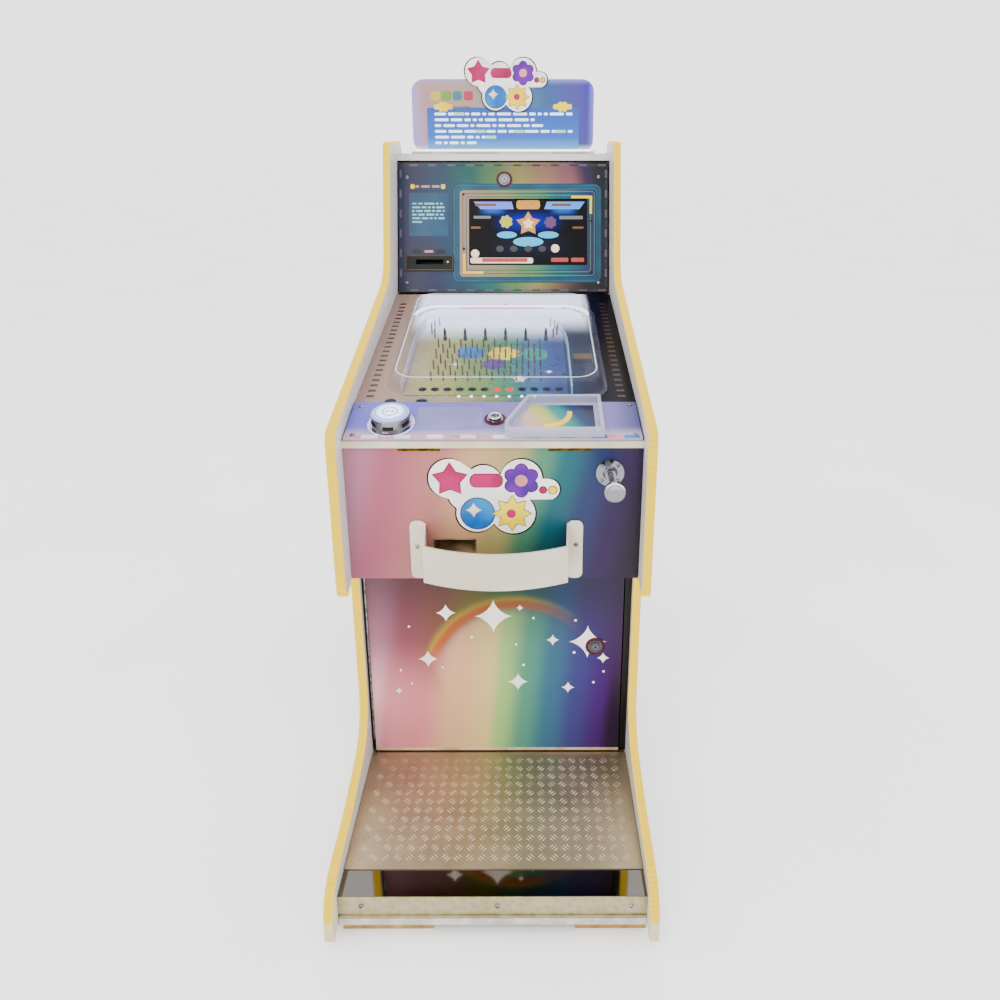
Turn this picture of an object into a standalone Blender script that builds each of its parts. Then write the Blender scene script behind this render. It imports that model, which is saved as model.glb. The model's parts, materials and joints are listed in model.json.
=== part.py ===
"""Marble pinball arcade machine: a narrow upright cabinet with a sloping playfield, a lit marquee and a step platform.

Metres, +Z up. The front is at -Y. The origin is at the centre of the footprint, on the floor.
A station is a distance back from the front of the feet, and a height is a distance above the floor.
"""

import math

import bmesh
import bpy
from mathutils import Matrix, Vector

# Cabinet
WIDTH = 0.650
DEPTH = 1.350
BOARD = 0.018
GAP = 0.0005
LED_DEPTH = 0.008
SKID_HEIGHT = 0.022
INNER = WIDTH / 2 - BOARD
FIT = INNER - GAP

# Side board outline from the top of the back to the foot: station, height, corner radius
SIDE_OUTLINE = [
    (1.338, 1.505, 0.0),
    (1.130, 1.505, 0.030),
    (1.033, 1.150, 0.100),
    (0.2875, 0.968, 0.030),
    (0.2875, 0.583, 0.028),
    (0.415, 0.640, 0.035),
    (0.415, 0.178, 0.110),
    (0.200, 0.138, 0.250),
    (0.000, 0.129, 0.070),
    (0.000, SKID_HEIGHT, 0.0),
]
BACK_TOP = 1.490

# Upper box
BOX_FRONT = 0.350
BOX_BOTTOM = 0.617
BOX_FRONT_TOP = 0.9160
LID_AXIS = (0.3477, 0.9155)
CONSOLE_EDGE = (0.345, 0.9375)
CONSOLE_TILT = math.radians(14.1)
CONSOLE_LENGTH = 0.139
CONSOLE_PLATE = 0.005
DECK_EDGE = (0.485, 0.966)
DECK_TILT = math.radians(10.37)
DECK_LENGTH = 0.655
HEADER_EDGE = (1.146, 1.087)
HEADER_TILT = math.radians(74.0)
HEADER_LENGTH = 0.374
HEADER_PLATE = 0.012
PANEL_HALF = 0.303

# Leg and base
DOOR_FRONT = 0.438
DOOR_BOTTOM = 0.0945
DOOR_TOP = 0.604
DOOR_LEFT = -0.298
DOOR_RIGHT = 0.289
PLATFORM_FRONT = 0.040
PLATFORM_REAR = 0.432
PLATFORM_TOP = 0.092
CHECKER_SETBACK = 0.062
BACK_STATION = 1.325

# Marquee
MARQUEE_STATION = 1.270
MARQUEE_HALF = 0.259
MARQUEE_BOTTOM = 1.4735
MARQUEE_TOP = 1.673
HEADER_BOARD_TOP = 1.470

PARTS = None
CUTTERS = None


# ---------------------------------------------------------------- scene and materials


def start():
    """An empty scene with one collection for the parts and one for the cutters."""
    global PARTS, CUTTERS
    for obj in list(bpy.data.objects):
        bpy.data.objects.remove(obj)
    PARTS = bpy.data.collections.new("marble_pinball_machine")
    CUTTERS = bpy.data.collections.new("cutters")
    for collection in (PARTS, CUTTERS):
        bpy.context.scene.collection.children.link(collection)


def material(name, colour, roughness, metallic=0.0, alpha=1.0):
    mat = bpy.data.materials.get(name) or bpy.data.materials.new(name)
    mat.use_nodes = True
    shader = mat.node_tree.nodes["Principled BSDF"]
    shader.inputs["Base Color"].default_value = (*colour, 1.0)
    shader.inputs["Roughness"].default_value = roughness
    shader.inputs["Metallic"].default_value = metallic
    shader.inputs["Alpha"].default_value = alpha
    return mat


def white_laminate():
    return material("white_laminate", (0.80, 0.79, 0.77), 0.45)


def pearl_print():
    return material("pearl_print", (0.62, 0.50, 0.56), 0.30)


def lit_plastic():
    return material("lit_plastic", (1.0, 0.83, 0.35), 0.40)


def chrome():
    return material("chrome", (0.80, 0.80, 0.80), 0.12, 1.0)


def steel():
    return material("steel", (0.55, 0.55, 0.56), 0.35, 1.0)


def brass():
    return material("brass", (0.66, 0.52, 0.24), 0.30, 1.0)


def clear_plastic():
    return material("clear_plastic", (0.90, 0.93, 0.97), 0.08, 0.0, 0.3)


def white_plastic():
    return material("white_plastic", (0.85, 0.84, 0.80), 0.40)


def black_plastic():
    return material("black_plastic", (0.03, 0.03, 0.035), 0.45)


def plywood():
    return material("plywood", (0.62, 0.47, 0.30), 0.70)


def circuit():
    return material("circuit", (0.05, 0.25, 0.10), 0.50)


def galvanised():
    return material("galvanised", (0.60, 0.61, 0.60), 0.40, 1.0)


# ---------------------------------------------------------------- placing


def at(x, station, height):
    """A point from its distance right of centre, its station and its height."""
    return Vector((x, station - DEPTH / 2, height))


def side_plane(x=0.0):
    """Local X is the station, local Y the height, and local Z points right."""
    return Matrix.Translation(at(x, 0, 0)) @ Matrix(
        ((0, 0, 1, 0), (1, 0, 0, 0), (0, 1, 0, 0), (0, 0, 0, 1))
    )


def slope(edge, tilt):
    """Local X points right, local Y up the slope from its front edge, and local Z out of the surface."""
    return Matrix.Translation(at(0, *edge)) @ Matrix.Rotation(tilt, 4, "X")


def upright(station):
    """Local X points right, local Y is the height, and local Z points out of the front."""
    return slope((station, 0.0), math.radians(90))


CONSOLE = slope(CONSOLE_EDGE, CONSOLE_TILT)
DECK = slope(DECK_EDGE, DECK_TILT)
HEADER = slope(HEADER_EDGE, HEADER_TILT)


# ---------------------------------------------------------------- modelling helpers


def add(mesh, name, mat, place=None):
    """A new object in the parts collection, with the mesh's points moved to place."""
    if place is not None:
        mesh.transform(place)
    obj = bpy.data.objects.new(name, mesh)
    PARTS.objects.link(obj)
    mesh.materials.clear()
    mesh.materials.append(mat)
    return obj


def hang(obj, axis_point):
    """Puts a moving piece's origin on its joint's axis, without moving its shape."""
    obj.data.transform(Matrix.Translation(-axis_point))
    obj.location = axis_point
    return obj


def smooth(obj, degrees=30):
    obj.data.shade_smooth()
    obj.data.set_sharp_from_angle(angle=math.radians(degrees))
    return obj


def box_mesh(low, high):
    """A box between two corners, from a unit cube."""
    low, high = Vector(low), Vector(high)
    bm = bmesh.new()
    bmesh.ops.create_cube(bm, size=1.0)
    bmesh.ops.scale(bm, vec=high - low, verts=bm.verts)
    bmesh.ops.translate(bm, vec=(low + high) / 2, verts=bm.verts)
    mesh = bpy.data.meshes.new("box")
    bm.to_mesh(mesh)
    bm.free()
    return mesh


def round_mesh(radius, low, high, centre=(0.0, 0.0), sides=24, top_radius=None):
    """A cylinder or cone along local Z, from low to high."""
    bm = bmesh.new()
    bmesh.ops.create_cone(
        bm,
        cap_ends=True,
        segments=sides,
        radius1=radius,
        radius2=radius if top_radius is None else top_radius,
        depth=high - low,
    )
    bmesh.ops.translate(bm, vec=(centre[0], centre[1], (low + high) / 2), verts=bm.verts)
    mesh = bpy.data.meshes.new("round")
    bm.to_mesh(mesh)
    bm.free()
    return mesh


def flat_mesh(outlines, low, high):
    """The area inside the first outline and outside the others, from low to high along local Z."""
    curve = bpy.data.curves.new("outline", "CURVE")
    curve.dimensions = "2D"
    curve.fill_mode = "BOTH"
    curve.extrude = (high - low) / 2
    for outline in outlines:
        spline = curve.splines.new("POLY")
        spline.points.add(len(outline) - 1)
        for point, (x, y) in zip(spline.points, outline):
            point.co = (x, y, 0.0, 1.0)
        spline.use_cyclic_u = True
    guide = bpy.data.objects.new("outline", curve)
    bpy.context.scene.collection.objects.link(guide)
    bpy.context.view_layer.update()
    mesh = bpy.data.meshes.new_from_object(guide.evaluated_get(bpy.context.evaluated_depsgraph_get()))
    bpy.data.objects.remove(guide)
    bm = bmesh.new()
    bm.from_mesh(mesh)
    bmesh.ops.remove_doubles(bm, verts=bm.verts, dist=0.00001)
    bmesh.ops.translate(bm, vec=(0, 0, (low + high) / 2), verts=bm.verts)
    bmesh.ops.recalc_face_normals(bm, faces=bm.faces)
    bm.to_mesh(mesh)
    bm.free()
    return mesh


def bevelled(obj, width, segments=2, degrees=40):
    mod = obj.modifiers.new("edges", "BEVEL")
    mod.width = width
    mod.segments = segments
    mod.limit_method = "ANGLE"
    mod.angle_limit = math.radians(degrees)
    return obj


def boolean(obj, mesh, operation, place=None):
    """Cuts or joins obj with a mesh, which is kept as a wire cutter."""
    if place is not None:
        mesh.transform(place)
    cutter = bpy.data.objects.new(f"{obj.name}_{operation.lower()}", mesh)
    CUTTERS.objects.link(cutter)
    cutter.hide_render = True
    cutter.display_type = "WIRE"
    mod = obj.modifiers.new(operation.lower(), "BOOLEAN")
    mod.operation = operation
    mod.solver = "EXACT"
    mod.object = cutter
    return cutter


def cut(obj, mesh, place=None):
    return boolean(obj, mesh, "DIFFERENCE", place)


def join(obj, mesh, place=None):
    return boolean(obj, mesh, "UNION", place)


def box(name, low, high, mat, place=None):
    return add(box_mesh(low, high), name, mat, place)


def board(name, x_range, station_range, height_range, mat):
    """A box given by its ranges right of centre, of station and of height."""
    low, high = zip(x_range, station_range, height_range)
    return box(name, at(*low), at(*high), mat)


# ---------------------------------------------------------------- outlines


def rounded(corners, step=math.radians(15)):
    """Points of an open line whose corners (x, y, radius) are turned into arcs."""
    points = []
    for i, (x, y, radius) in enumerate(corners):
        here = Vector((x, y))
        if radius == 0 or i in (0, len(corners) - 1):
            points.append(here)
            continue
        back = (Vector(corners[i - 1][:2]) - here).normalized()
        on = (Vector(corners[i + 1][:2]) - here).normalized()
        half = back.angle(on) / 2
        centre = here + (back + on).normalized() * (radius / math.sin(half))
        first = here + back * (radius / math.tan(half)) - centre
        last = here + on * (radius / math.tan(half)) - centre
        turn = math.atan2(first.cross(last), first.dot(last))
        count = max(2, round(abs(turn) / step))
        for k in range(count + 1):
            angle = turn * k / count
            c, s = math.cos(angle), math.sin(angle)
            points.append(centre + Vector((first.x * c - first.y * s, first.x * s + first.y * c)))
    return points


def shifted(points, distance):
    """An open line moved to its left by a distance."""
    moved = []
    for i, point in enumerate(points):
        before = points[max(i - 1, 0)]
        after = points[min(i + 1, len(points) - 1)]
        into = (point - before) if i else (after - point)
        out = (after - point) if i < len(points) - 1 else into
        normals = [Vector((-d.y, d.x)).normalized() for d in (into, out)]
        middle = (normals[0] + normals[1]).normalized()
        moved.append(point + middle * (distance / middle.dot(normals[0])))
    return moved


def rectangle(x0, y0, x1, y1, radius=0.0, steps=4):
    """A rectangle with round corners, as a closed outline."""
    if radius == 0:
        return [Vector(p) for p in ((x0, y0), (x1, y0), (x1, y1), (x0, y1))]
    points = []
    centres = ((x1, y0, -1, 1, 270), (x1, y1, -1, -1, 0), (x0, y1, 1, -1, 90), (x0, y0, 1, 1, 180))
    for x, y, sx, sy, start_angle in centres:
        for k in range(steps + 1):
            angle = math.radians(start_angle + 90 * k / steps)
            points.append(
                Vector(
                    (
                        x + sx * radius + radius * math.cos(angle),
                        y + sy * radius + radius * math.sin(angle),
                    )
                )
            )
    return points


def circle(x, y, radius, sides=24):
    return [
        Vector((x + radius * math.cos(a), y + radius * math.sin(a)))
        for a in (2 * math.pi * k / sides for k in range(sides))
    ]


def strip(points, width):
    """A closed outline of even width along an open line."""
    return shifted(points, width / 2) + shifted(points, -width / 2)[::-1]


# ---------------------------------------------------------------- cabinet


def side_boards():
    """The two side boards and the lit strips on their front edges."""
    edge = rounded(SIDE_OUTLINE)
    strip_outline = edge + shifted(edge, LED_DEPTH)[::-1]
    board_edge = shifted(edge, LED_DEPTH + GAP)
    foot = [Vector((LED_DEPTH + GAP, SKID_HEIGHT)), Vector((DEPTH, SKID_HEIGHT))]
    back = [Vector((DEPTH, BACK_TOP - 0.015)), Vector((DEPTH - 0.012, BACK_TOP))]
    board_outline = board_edge + foot + back
    for side, sign in (("left", -1), ("right", 1)):
        x = sign * (WIDTH - BOARD) / 2
        low, high = -BOARD / 2, BOARD / 2
        add(flat_mesh([board_outline], low, high), f"side_panel_{side}", white_laminate(), side_plane(x))
        add(flat_mesh([strip_outline], low, high), f"led_strip_{side}", lit_plastic(), side_plane(x))


def inner_boards():
    """Boards that span the cabinet between the side boards."""
    across = (-FIT, FIT)
    back = board("back_panel", across, (BACK_STATION, BACK_STATION + BOARD), (0.045, HEADER_BOARD_TOP), plywood())
    cut(back, box_mesh(at(0.176, BACK_STATION - 0.01, 0.176), at(0.224, 1.36, 0.204)))
    board("floor_board", across, (0.4605, BACK_STATION - GAP), (0.045, 0.063), plywood())
    board("hopper_shelf", across, (0.700, BACK_STATION - GAP), (0.520, 0.538), plywood())
    board("header_top_board", across, (1.248, BACK_STATION - GAP), (1.452, HEADER_BOARD_TOP), white_laminate())
    rail = ((-FIT, 0.350, -0.0205), (FIT, 0.372, -HEADER_PLATE - GAP))
    box("header_rail", *rail, black_plastic(), HEADER)
    bottom = board(
        "box_bottom_board", across, (BOX_FRONT + BOARD + GAP, DOOR_FRONT), (BOX_BOTTOM, BOX_BOTTOM + BOARD), plywood()
    )
    cut(bottom, round_mesh(0.024, BOX_BOTTOM - 0.01, BOX_BOTTOM + 0.03), Matrix.Translation(at(0.2, 0.402, 0)))


def front_panel():
    """The printed front of the upper box, with holes for the shooter and the ball outlet."""
    outline = rectangle(-FIT, BOX_BOTTOM, FIT, BOX_FRONT_TOP)
    shooter_hole = circle(SHOOTER_X, SHOOTER_HEIGHT, 0.0155)
    outlet = rectangle(*OUTLET)
    add(flat_mesh([outline, shooter_hole, outlet], -BOARD, 0), "front_panel", pearl_print(), upright(BOX_FRONT))


def base():
    """Skids, the metal platform tray and the checker plate on it."""
    for side, x0, x1 in (("left", -0.300, -0.120), ("right", 0.165, 0.307)):
        board(f"skid_{side}", (x0, x1), (0.046, 1.330), (0.0, SKID_HEIGHT - GAP), plywood())
    tray_bottom = 0.0415
    low, high = at(-FIT, PLATFORM_FRONT, tray_bottom), at(FIT, PLATFORM_REAR, PLATFORM_TOP - 0.003)
    tray = box("platform_tray", low, high, galvanised())
    hollow_low = at(-FIT + 0.002, PLATFORM_FRONT + 0.002, tray_bottom - 0.01)
    hollow_high = at(FIT - 0.002, PLATFORM_REAR - 0.002, PLATFORM_TOP - 0.005)
    cut(tray, box_mesh(hollow_low, hollow_high))
    lip_low, lip_high = at(-FIT, PLATFORM_FRONT - 0.003, SKID_HEIGHT + GAP), at(FIT, PLATFORM_FRONT + 0.002, 0.0435)
    join(tray, box_mesh(lip_low, lip_high))
    board(
        "checker_plate",
        (-FIT + 0.001, FIT - 0.001),
        (PLATFORM_FRONT + CHECKER_SETBACK, PLATFORM_REAR),
        (PLATFORM_TOP - 0.003 + GAP, PLATFORM_TOP),
        galvanised(),
    )


# ---------------------------------------------------------------- locks and hinges


def cam_lock(prefix, place, x, y, length, cam, rest_degrees=0):
    """A flanged lock body with its bore open at both ends, and a barrel that fills it and carries a cam.

    The cam lies behind the body. With the key out it points along local X, turned by rest_degrees.
    """
    here = place @ Matrix.Translation((x, y, 0))
    body = add(round_mesh(0.0165, GAP, 0.0030), f"{prefix}_lock_body", chrome(), here)
    join(body, round_mesh(0.0120, 0.0020, 0.0060), here)
    join(body, round_mesh(0.0092, -length, 0.0025), here)
    cut(body, round_mesh(0.0066, -length - 0.01, 0.0100, sides=20), here)
    barrel = add(round_mesh(0.0062, -length - 0.0030, 0.0055, sides=20), f"{prefix}_lock_barrel", chrome(), here)
    arm = box_mesh((-0.0068, -0.0068, -length - 0.0032), (cam, 0.0068, -length - 0.0008))
    join(barrel, arm, here @ Matrix.Rotation(math.radians(rest_degrees), 4, "Z"))
    hang(barrel, here.translation)
    smooth(body)
    smooth(barrel)
    return body, barrel


def hinge_leaf(name, place, length, reach, side, offset, knuckles, pin, metal):
    """One leaf of a hinge whose axis is local Z. The leaf runs along local Y, offset to one side of local X.

    knuckles are (start, end) spans of the length. The leaf with the pin has solid knuckles.
    """
    radius, bore, thick, inset = 0.0022, 0.0013, 0.0012, 0.0001
    x0, x1 = sorted((side * offset, side * (offset + thick)))
    leaf = add(box_mesh((x0, radius + 0.0003, 0), (x1, reach, length)), name, metal, place)
    for start_at, end_at in knuckles:
        tab_low, tab_high = (x0 + inset, 0, start_at + inset), (x1 - inset, radius + 0.0010, end_at - inset)
        join(leaf, box_mesh(tab_low, tab_high), place)
        join(leaf, round_mesh(radius, start_at, end_at, sides=12), place)
    if pin:
        join(leaf, round_mesh(0.0010, 0.0, length, sides=12), place)
    else:
        cut(leaf, round_mesh(bore, -0.01, length + 0.01, sides=12), place)
    return leaf


def hinge(prefix, place, length, reach, names, flat, metal):
    """A fixed leaf with the pin and a moving leaf, whose knuckles take turns along the pin.

    At rest the leaves face each other, or lie flat in one plane.
    """
    count = 5
    pitch = length / count
    spans = [(i * pitch + 0.0003, (i + 1) * pitch - 0.0003) for i in range(count)]
    offset = 0.0010 if flat else 0.0003
    hinge_leaf(f"{prefix}_{names[0]}", place, length, reach, -1, offset, spans[0::2], True, metal)
    over = place @ Matrix.Rotation(math.pi, 4, "Z") if flat else place
    moving = hinge_leaf(f"{prefix}_{names[1]}", over, length, reach, 1, offset, spans[1::2], False, metal)
    hang(moving, place.translation)


# ---------------------------------------------------------------- leg

DOOR_AXIS = (DOOR_LEFT - 0.00175, DOOR_FRONT - 0.0025)
DOOR_LOCK = (0.227, 0.387)


def service_door():
    """The printed leg door, its stiles, its piano hinge and its lock."""
    outline = rectangle(DOOR_LEFT, DOOR_BOTTOM, DOOR_RIGHT, DOOR_TOP)
    door = add(
        flat_mesh([outline, circle(*DOOR_LOCK, 0.0096)], -BOARD, 0), "service_door", pearl_print(), upright(DOOR_FRONT)
    )
    axis = at(DOOR_AXIS[0], DOOR_AXIS[1], 0.130)
    hang(door, axis)
    stile = (DOOR_FRONT + 0.002, DOOR_FRONT + BOARD + 0.002)
    board("door_stile_left", (-FIT, DOOR_LEFT - 0.0036), stile, (0.0935, BOX_BOTTOM - GAP), black_plastic())
    board("door_stile_right", (DOOR_RIGHT + 0.003, FIT), stile, (0.0935, BOX_BOTTOM - GAP), black_plastic())
    place = Matrix.Translation(axis)
    hinge("door", place, 0.440, 0.019, ("hinge_fixed_leaf", "hinge_moving_leaf"), False, steel())
    cam_lock("door", upright(DOOR_FRONT), *DOOR_LOCK, BOARD + 0.0032, 0.064, -90)


# ---------------------------------------------------------------- front of the upper box

OUTLET = (-0.130, 0.667, -0.038, 0.711)
SHOOTER_X = 0.239
SHOOTER_HEIGHT = 0.862
SHOOTER_TRAVEL = 0.040


def catch_tray():
    """A moulded tray with a bowed front and two screw flanges, open at the top and at the back."""
    wall = 0.004
    low, high, rear_high = 0.642, 0.724, 0.752
    left, right, mouth = -0.148, 0.157, BOX_FRONT - GAP
    bow, ends = 0.256, 0.290
    mid = (left + right) / 2
    half = (right - left) / 2 - 0.004
    span = range(13)

    def plan(inset):
        arc = []
        for k in span:
            u = -1 + 2 * k / (len(span) - 1)
            arc.append(Vector((mid + u * (half - inset), bow + (ends - bow) * u * u + inset)))
        rear = mouth + (0.01 if inset else 0)
        return [Vector((left + inset, rear)), *arc, Vector((right - inset, rear))]

    up = Matrix.Translation(at(0, 0, 0))
    tray = add(flat_mesh([plan(0)], low, rear_high), "catch_tray", white_plastic(), up)
    cut(tray, flat_mesh([plan(wall)], low + wall, rear_high + 0.01), up)
    top_cut = [
        Vector((0.20, high)),
        Vector((ends + 0.004, high)),
        Vector((BOX_FRONT + 0.02, rear_high + 0.004)),
        Vector((0.20, rear_high + 0.02)),
    ]
    cut(tray, flat_mesh([top_cut], -0.25, 0.25), side_plane())
    for x0, x1 in ((left - 0.029, left + wall), (right - wall, right + 0.029)):
        flange = flat_mesh([rectangle(x0, 0.620, x1, 0.754, 0.012, 3)], GAP, wall)
        join(tray, flange, upright(BOX_FRONT))


def shooter():
    """The ball shooter: a flanged housing, a rod with a head, a disc knob and the spring between."""
    place = upright(BOX_FRONT) @ Matrix.Translation((SHOOTER_X, SHOOTER_HEIGHT, 0))
    housing = add(round_mesh(0.0290, GAP, 0.0050, sides=32), "shooter_housing", chrome(), place)
    join(housing, round_mesh(0.0150, -0.0500, 0.0040), place)
    join(housing, round_mesh(0.0160, 0.0040, 0.0160, top_radius=0.0110), place)
    cut(housing, round_mesh(0.0064, -0.0600, 0.0200, sides=20), place)
    smooth(housing)
    rod = add(round_mesh(0.0060, -0.1400, 0.0895, sides=20), "shooter_rod", steel(), place)
    join(rod, round_mesh(0.0120, -0.1400, -0.1340, sides=20), place)
    knob = add(round_mesh(0.0210, 0.0900, 0.1040, sides=32), "shooter_knob", chrome(), place)
    bevelled(knob, 0.003)
    join(knob, round_mesh(0.0110, 0.0780, 0.0950, sides=20), place)
    cut(knob, round_mesh(0.0063, 0.0700, 0.0898, sides=20), place)
    for piece in (rod, knob):
        hang(piece, place.translation)
        smooth(piece)
    turns, per_turn, radius = 8, 10, 0.0090
    low, high = -0.1322, -0.0518
    points = []
    for k in range(turns * per_turn + 1):
        angle = 2 * math.pi * k / per_turn
        points.append((radius * math.cos(angle), radius * math.sin(angle), low + (high - low) * k / (turns * per_turn)))
    add(tube_mesh(points, 0.0009, 1), "shooter_spring", steel(), place)


def tube_mesh(points, radius, resolution):
    """A wire through the points, with its caps welded."""
    curve = bpy.data.curves.new("wire", "CURVE")
    curve.dimensions = "3D"
    curve.bevel_depth = radius
    curve.bevel_resolution = resolution
    curve.use_fill_caps = True
    spline = curve.splines.new("POLY")
    spline.points.add(len(points) - 1)
    for point, co in zip(spline.points, points):
        point.co = (*co, 1.0)
    guide = bpy.data.objects.new("wire", curve)
    bpy.context.scene.collection.objects.link(guide)
    bpy.context.view_layer.update()
    mesh = bpy.data.meshes.new_from_object(guide.evaluated_get(bpy.context.evaluated_depsgraph_get()))
    bpy.data.objects.remove(guide)
    bm = bmesh.new()
    bm.from_mesh(mesh)
    bmesh.ops.remove_doubles(bm, verts=bm.verts, dist=0.00001)
    bmesh.ops.recalc_face_normals(bm, faces=bm.faces)
    bm.to_mesh(mesh)
    bm.free()
    return mesh


def outlet_chute():
    """A chute through the front panel, with a floor that falls to the front and an open back."""
    x0, y0, x1, y1 = OUTLET
    clear = 0.0006
    low, high = at(x0 + clear, BOX_FRONT, y0 + clear), at(x1 - clear, BOX_FRONT + 0.110, y1 - clear)
    chute = box("outlet_chute", low, high, white_plastic())
    hollow = [
        Vector((BOX_FRONT - 0.01, y0 + 0.0025)),
        Vector((BOX_FRONT + 0.12, y0 + 0.0180)),
        Vector((BOX_FRONT + 0.12, y1 - 0.0025)),
        Vector((BOX_FRONT - 0.01, y1 - 0.0025)),
    ]
    cut(chute, flat_mesh([hollow], x0 + 0.0026, x1 - 0.0026), side_plane())


# ---------------------------------------------------------------- console

BUTTON = (-0.213, 0.056)
BUTTON_TRAVEL = 0.004
LID_PIVOT = at(0, *LID_AXIS)


def console():
    """The console lid: its plate and trim, the start button, the marble tray, the lock and two hinges."""
    outline = rectangle(-PANEL_HALF, 0.0005, PANEL_HALF, CONSOLE_LENGTH)
    holes = [circle(*BUTTON, 0.0305, 32), circle(0.002, 0.071, 0.0096)]
    plate = add(flat_mesh([outline, *holes], -CONSOLE_PLATE, 0), "console_plate", pearl_print(), CONSOLE)
    trim = board("front_trim", (-FIT, FIT), (0.3415, 0.3485), (0.9185, 0.9322), white_laminate())
    pieces = [plate, trim, button_housing(), marble_tray()]
    body, _ = cam_lock("console", CONSOLE, 0.002, 0.071, 0.0270, 0.076)
    pieces.append(body)
    turned = Matrix.Rotation(math.radians(90), 4, "Y")
    for side, x in (("left", -0.194), ("right", 0.112)):
        place = Matrix.Translation(at(x, *LID_AXIS)) @ Matrix.Rotation(math.radians(-90), 4, "X") @ turned
        hinge(f"console_hinge_{side}", place, 0.086, 0.0060, ("fixed", "moving"), True, brass())
    for piece in pieces:
        hang(piece, LID_PIVOT)


def button_housing():
    """The start button: a chrome housing with a well, and a cap that travels in it."""
    place = CONSOLE @ Matrix.Translation((*BUTTON, 0))
    housing = add(round_mesh(0.0470, GAP, 0.0045, sides=40), "start_button_housing", chrome(), place)
    join(housing, round_mesh(0.0405, 0.0030, 0.0260, sides=40, top_radius=0.0395), place)
    join(housing, round_mesh(0.0300, -0.0450, 0.0040, sides=32), place)
    cut(housing, round_mesh(0.0345, 0.0060, 0.0300, sides=32), place)
    cut(housing, round_mesh(0.0100, -0.0300, 0.0100, sides=20), place)
    smooth(housing)
    cap = add(round_mesh(0.0340, 0.0110, 0.0300, sides=32), "start_button_cap", clear_plastic(), place)
    bevelled(cap, 0.002)
    join(cap, round_mesh(0.0095, -0.0230, 0.0120, sides=20), place)
    hang(cap, place.translation)
    smooth(cap)
    return housing


def marble_tray():
    """A tray with a slanted left end, for the marbles that a player has won."""
    outer = [(0.024, 0.004), (0.226, 0.004), (0.226, 0.137), (0.070, 0.137), (0.024, 0.036)]
    inner = [(0.032, 0.012), (0.218, 0.012), (0.218, 0.129), (0.0745, 0.129), (0.032, 0.0325)]
    tray = add(flat_mesh([[Vector(p) for p in outer]], GAP, 0.021), "marble_tray", clear_plastic(), CONSOLE)
    cut(tray, flat_mesh([[Vector(p) for p in inner]], 0.0035, 0.030), CONSOLE)
    return tray


# ---------------------------------------------------------------- playfield

HOLE_COUNT = 12
HOLE_PITCH = 0.0278
HOLE_FIRST = (-0.165, 0.062)
HOLE_RADIUS = 0.0100
PIN_RADIUS = 0.0022
PIN_HEIGHT = 0.026


def pin_places():
    """Staggered rows of pins, with a curved cluster at each side of the back row."""
    places = []
    for row in range(7):
        y = 0.105 + 0.030 * row
        shift = HOLE_PITCH / 2 if row % 2 else 0.0
        count = 10 - row % 2
        first = -0.150 + shift
        places += [(first + HOLE_PITCH * k, y) for k in range(count)]
    places += [(-0.138 + 0.0508 * k, 0.330) for k in range(6)]
    for sign, x in ((-1, -0.165), (1, 0.135)):
        places += [(x + sign * 0.012 * math.sin(k * 0.9), 0.345 + 0.018 * k) for k in range(5)]
    return places


def posts_mesh(places, radius, sides, low, high):
    """Equal upright posts at the given places, in one mesh."""
    bm = bmesh.new()
    for x, y in places:
        spot = Matrix.Translation((x, y, (low + high) / 2))
        bmesh.ops.create_cone(
            bm, cap_ends=True, segments=sides, radius1=radius, radius2=radius, depth=high - low, matrix=spot
        )
    mesh = bpy.data.meshes.new("posts")
    bm.to_mesh(mesh)
    bm.free()
    return mesh


def playfield():
    """The sloping board, the pin plate with its scoring holes, the rails, and the clear dome over them."""
    slot = rectangle(-0.182, 0.046, 0.158, 0.078)
    launch = rectangle(0.180, 0.200, 0.228, 0.260)
    outline = rectangle(-FIT, 0.0, FIT, DECK_LENGTH)
    add(flat_mesh([outline, slot, launch], -BOARD, 0), "playfield_board", pearl_print(), DECK)
    plate = box("pin_plate", (-0.205, 0.036, GAP), (0.160, 0.500, 0.0025), white_laminate(), DECK)
    hole_places = [(HOLE_FIRST[0] + HOLE_PITCH * k, HOLE_FIRST[1]) for k in range(HOLE_COUNT)]
    cut(plate, posts_mesh(hole_places, HOLE_RADIUS, 16, -0.004, 0.010), DECK)
    join(plate, posts_mesh(pin_places(), PIN_RADIUS, 6, 0.001, PIN_HEIGHT), DECK)
    lane = rounded([(0.168, 0.036, 0), (0.168, 0.300, 0.30), (0.150, 0.420, 0)])
    guide = rounded([(-0.210, 0.052, 0), (-0.210, 0.300, 0.30), (-0.196, 0.420, 0)])
    add(flat_mesh([strip(lane, 0.003)], 0.0030, 0.0240), "launch_lane_rail", clear_plastic(), DECK)
    add(flat_mesh([strip(guide, 0.003)], 0.0030, 0.0240), "guide_rail", clear_plastic(), DECK)
    dome()


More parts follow.
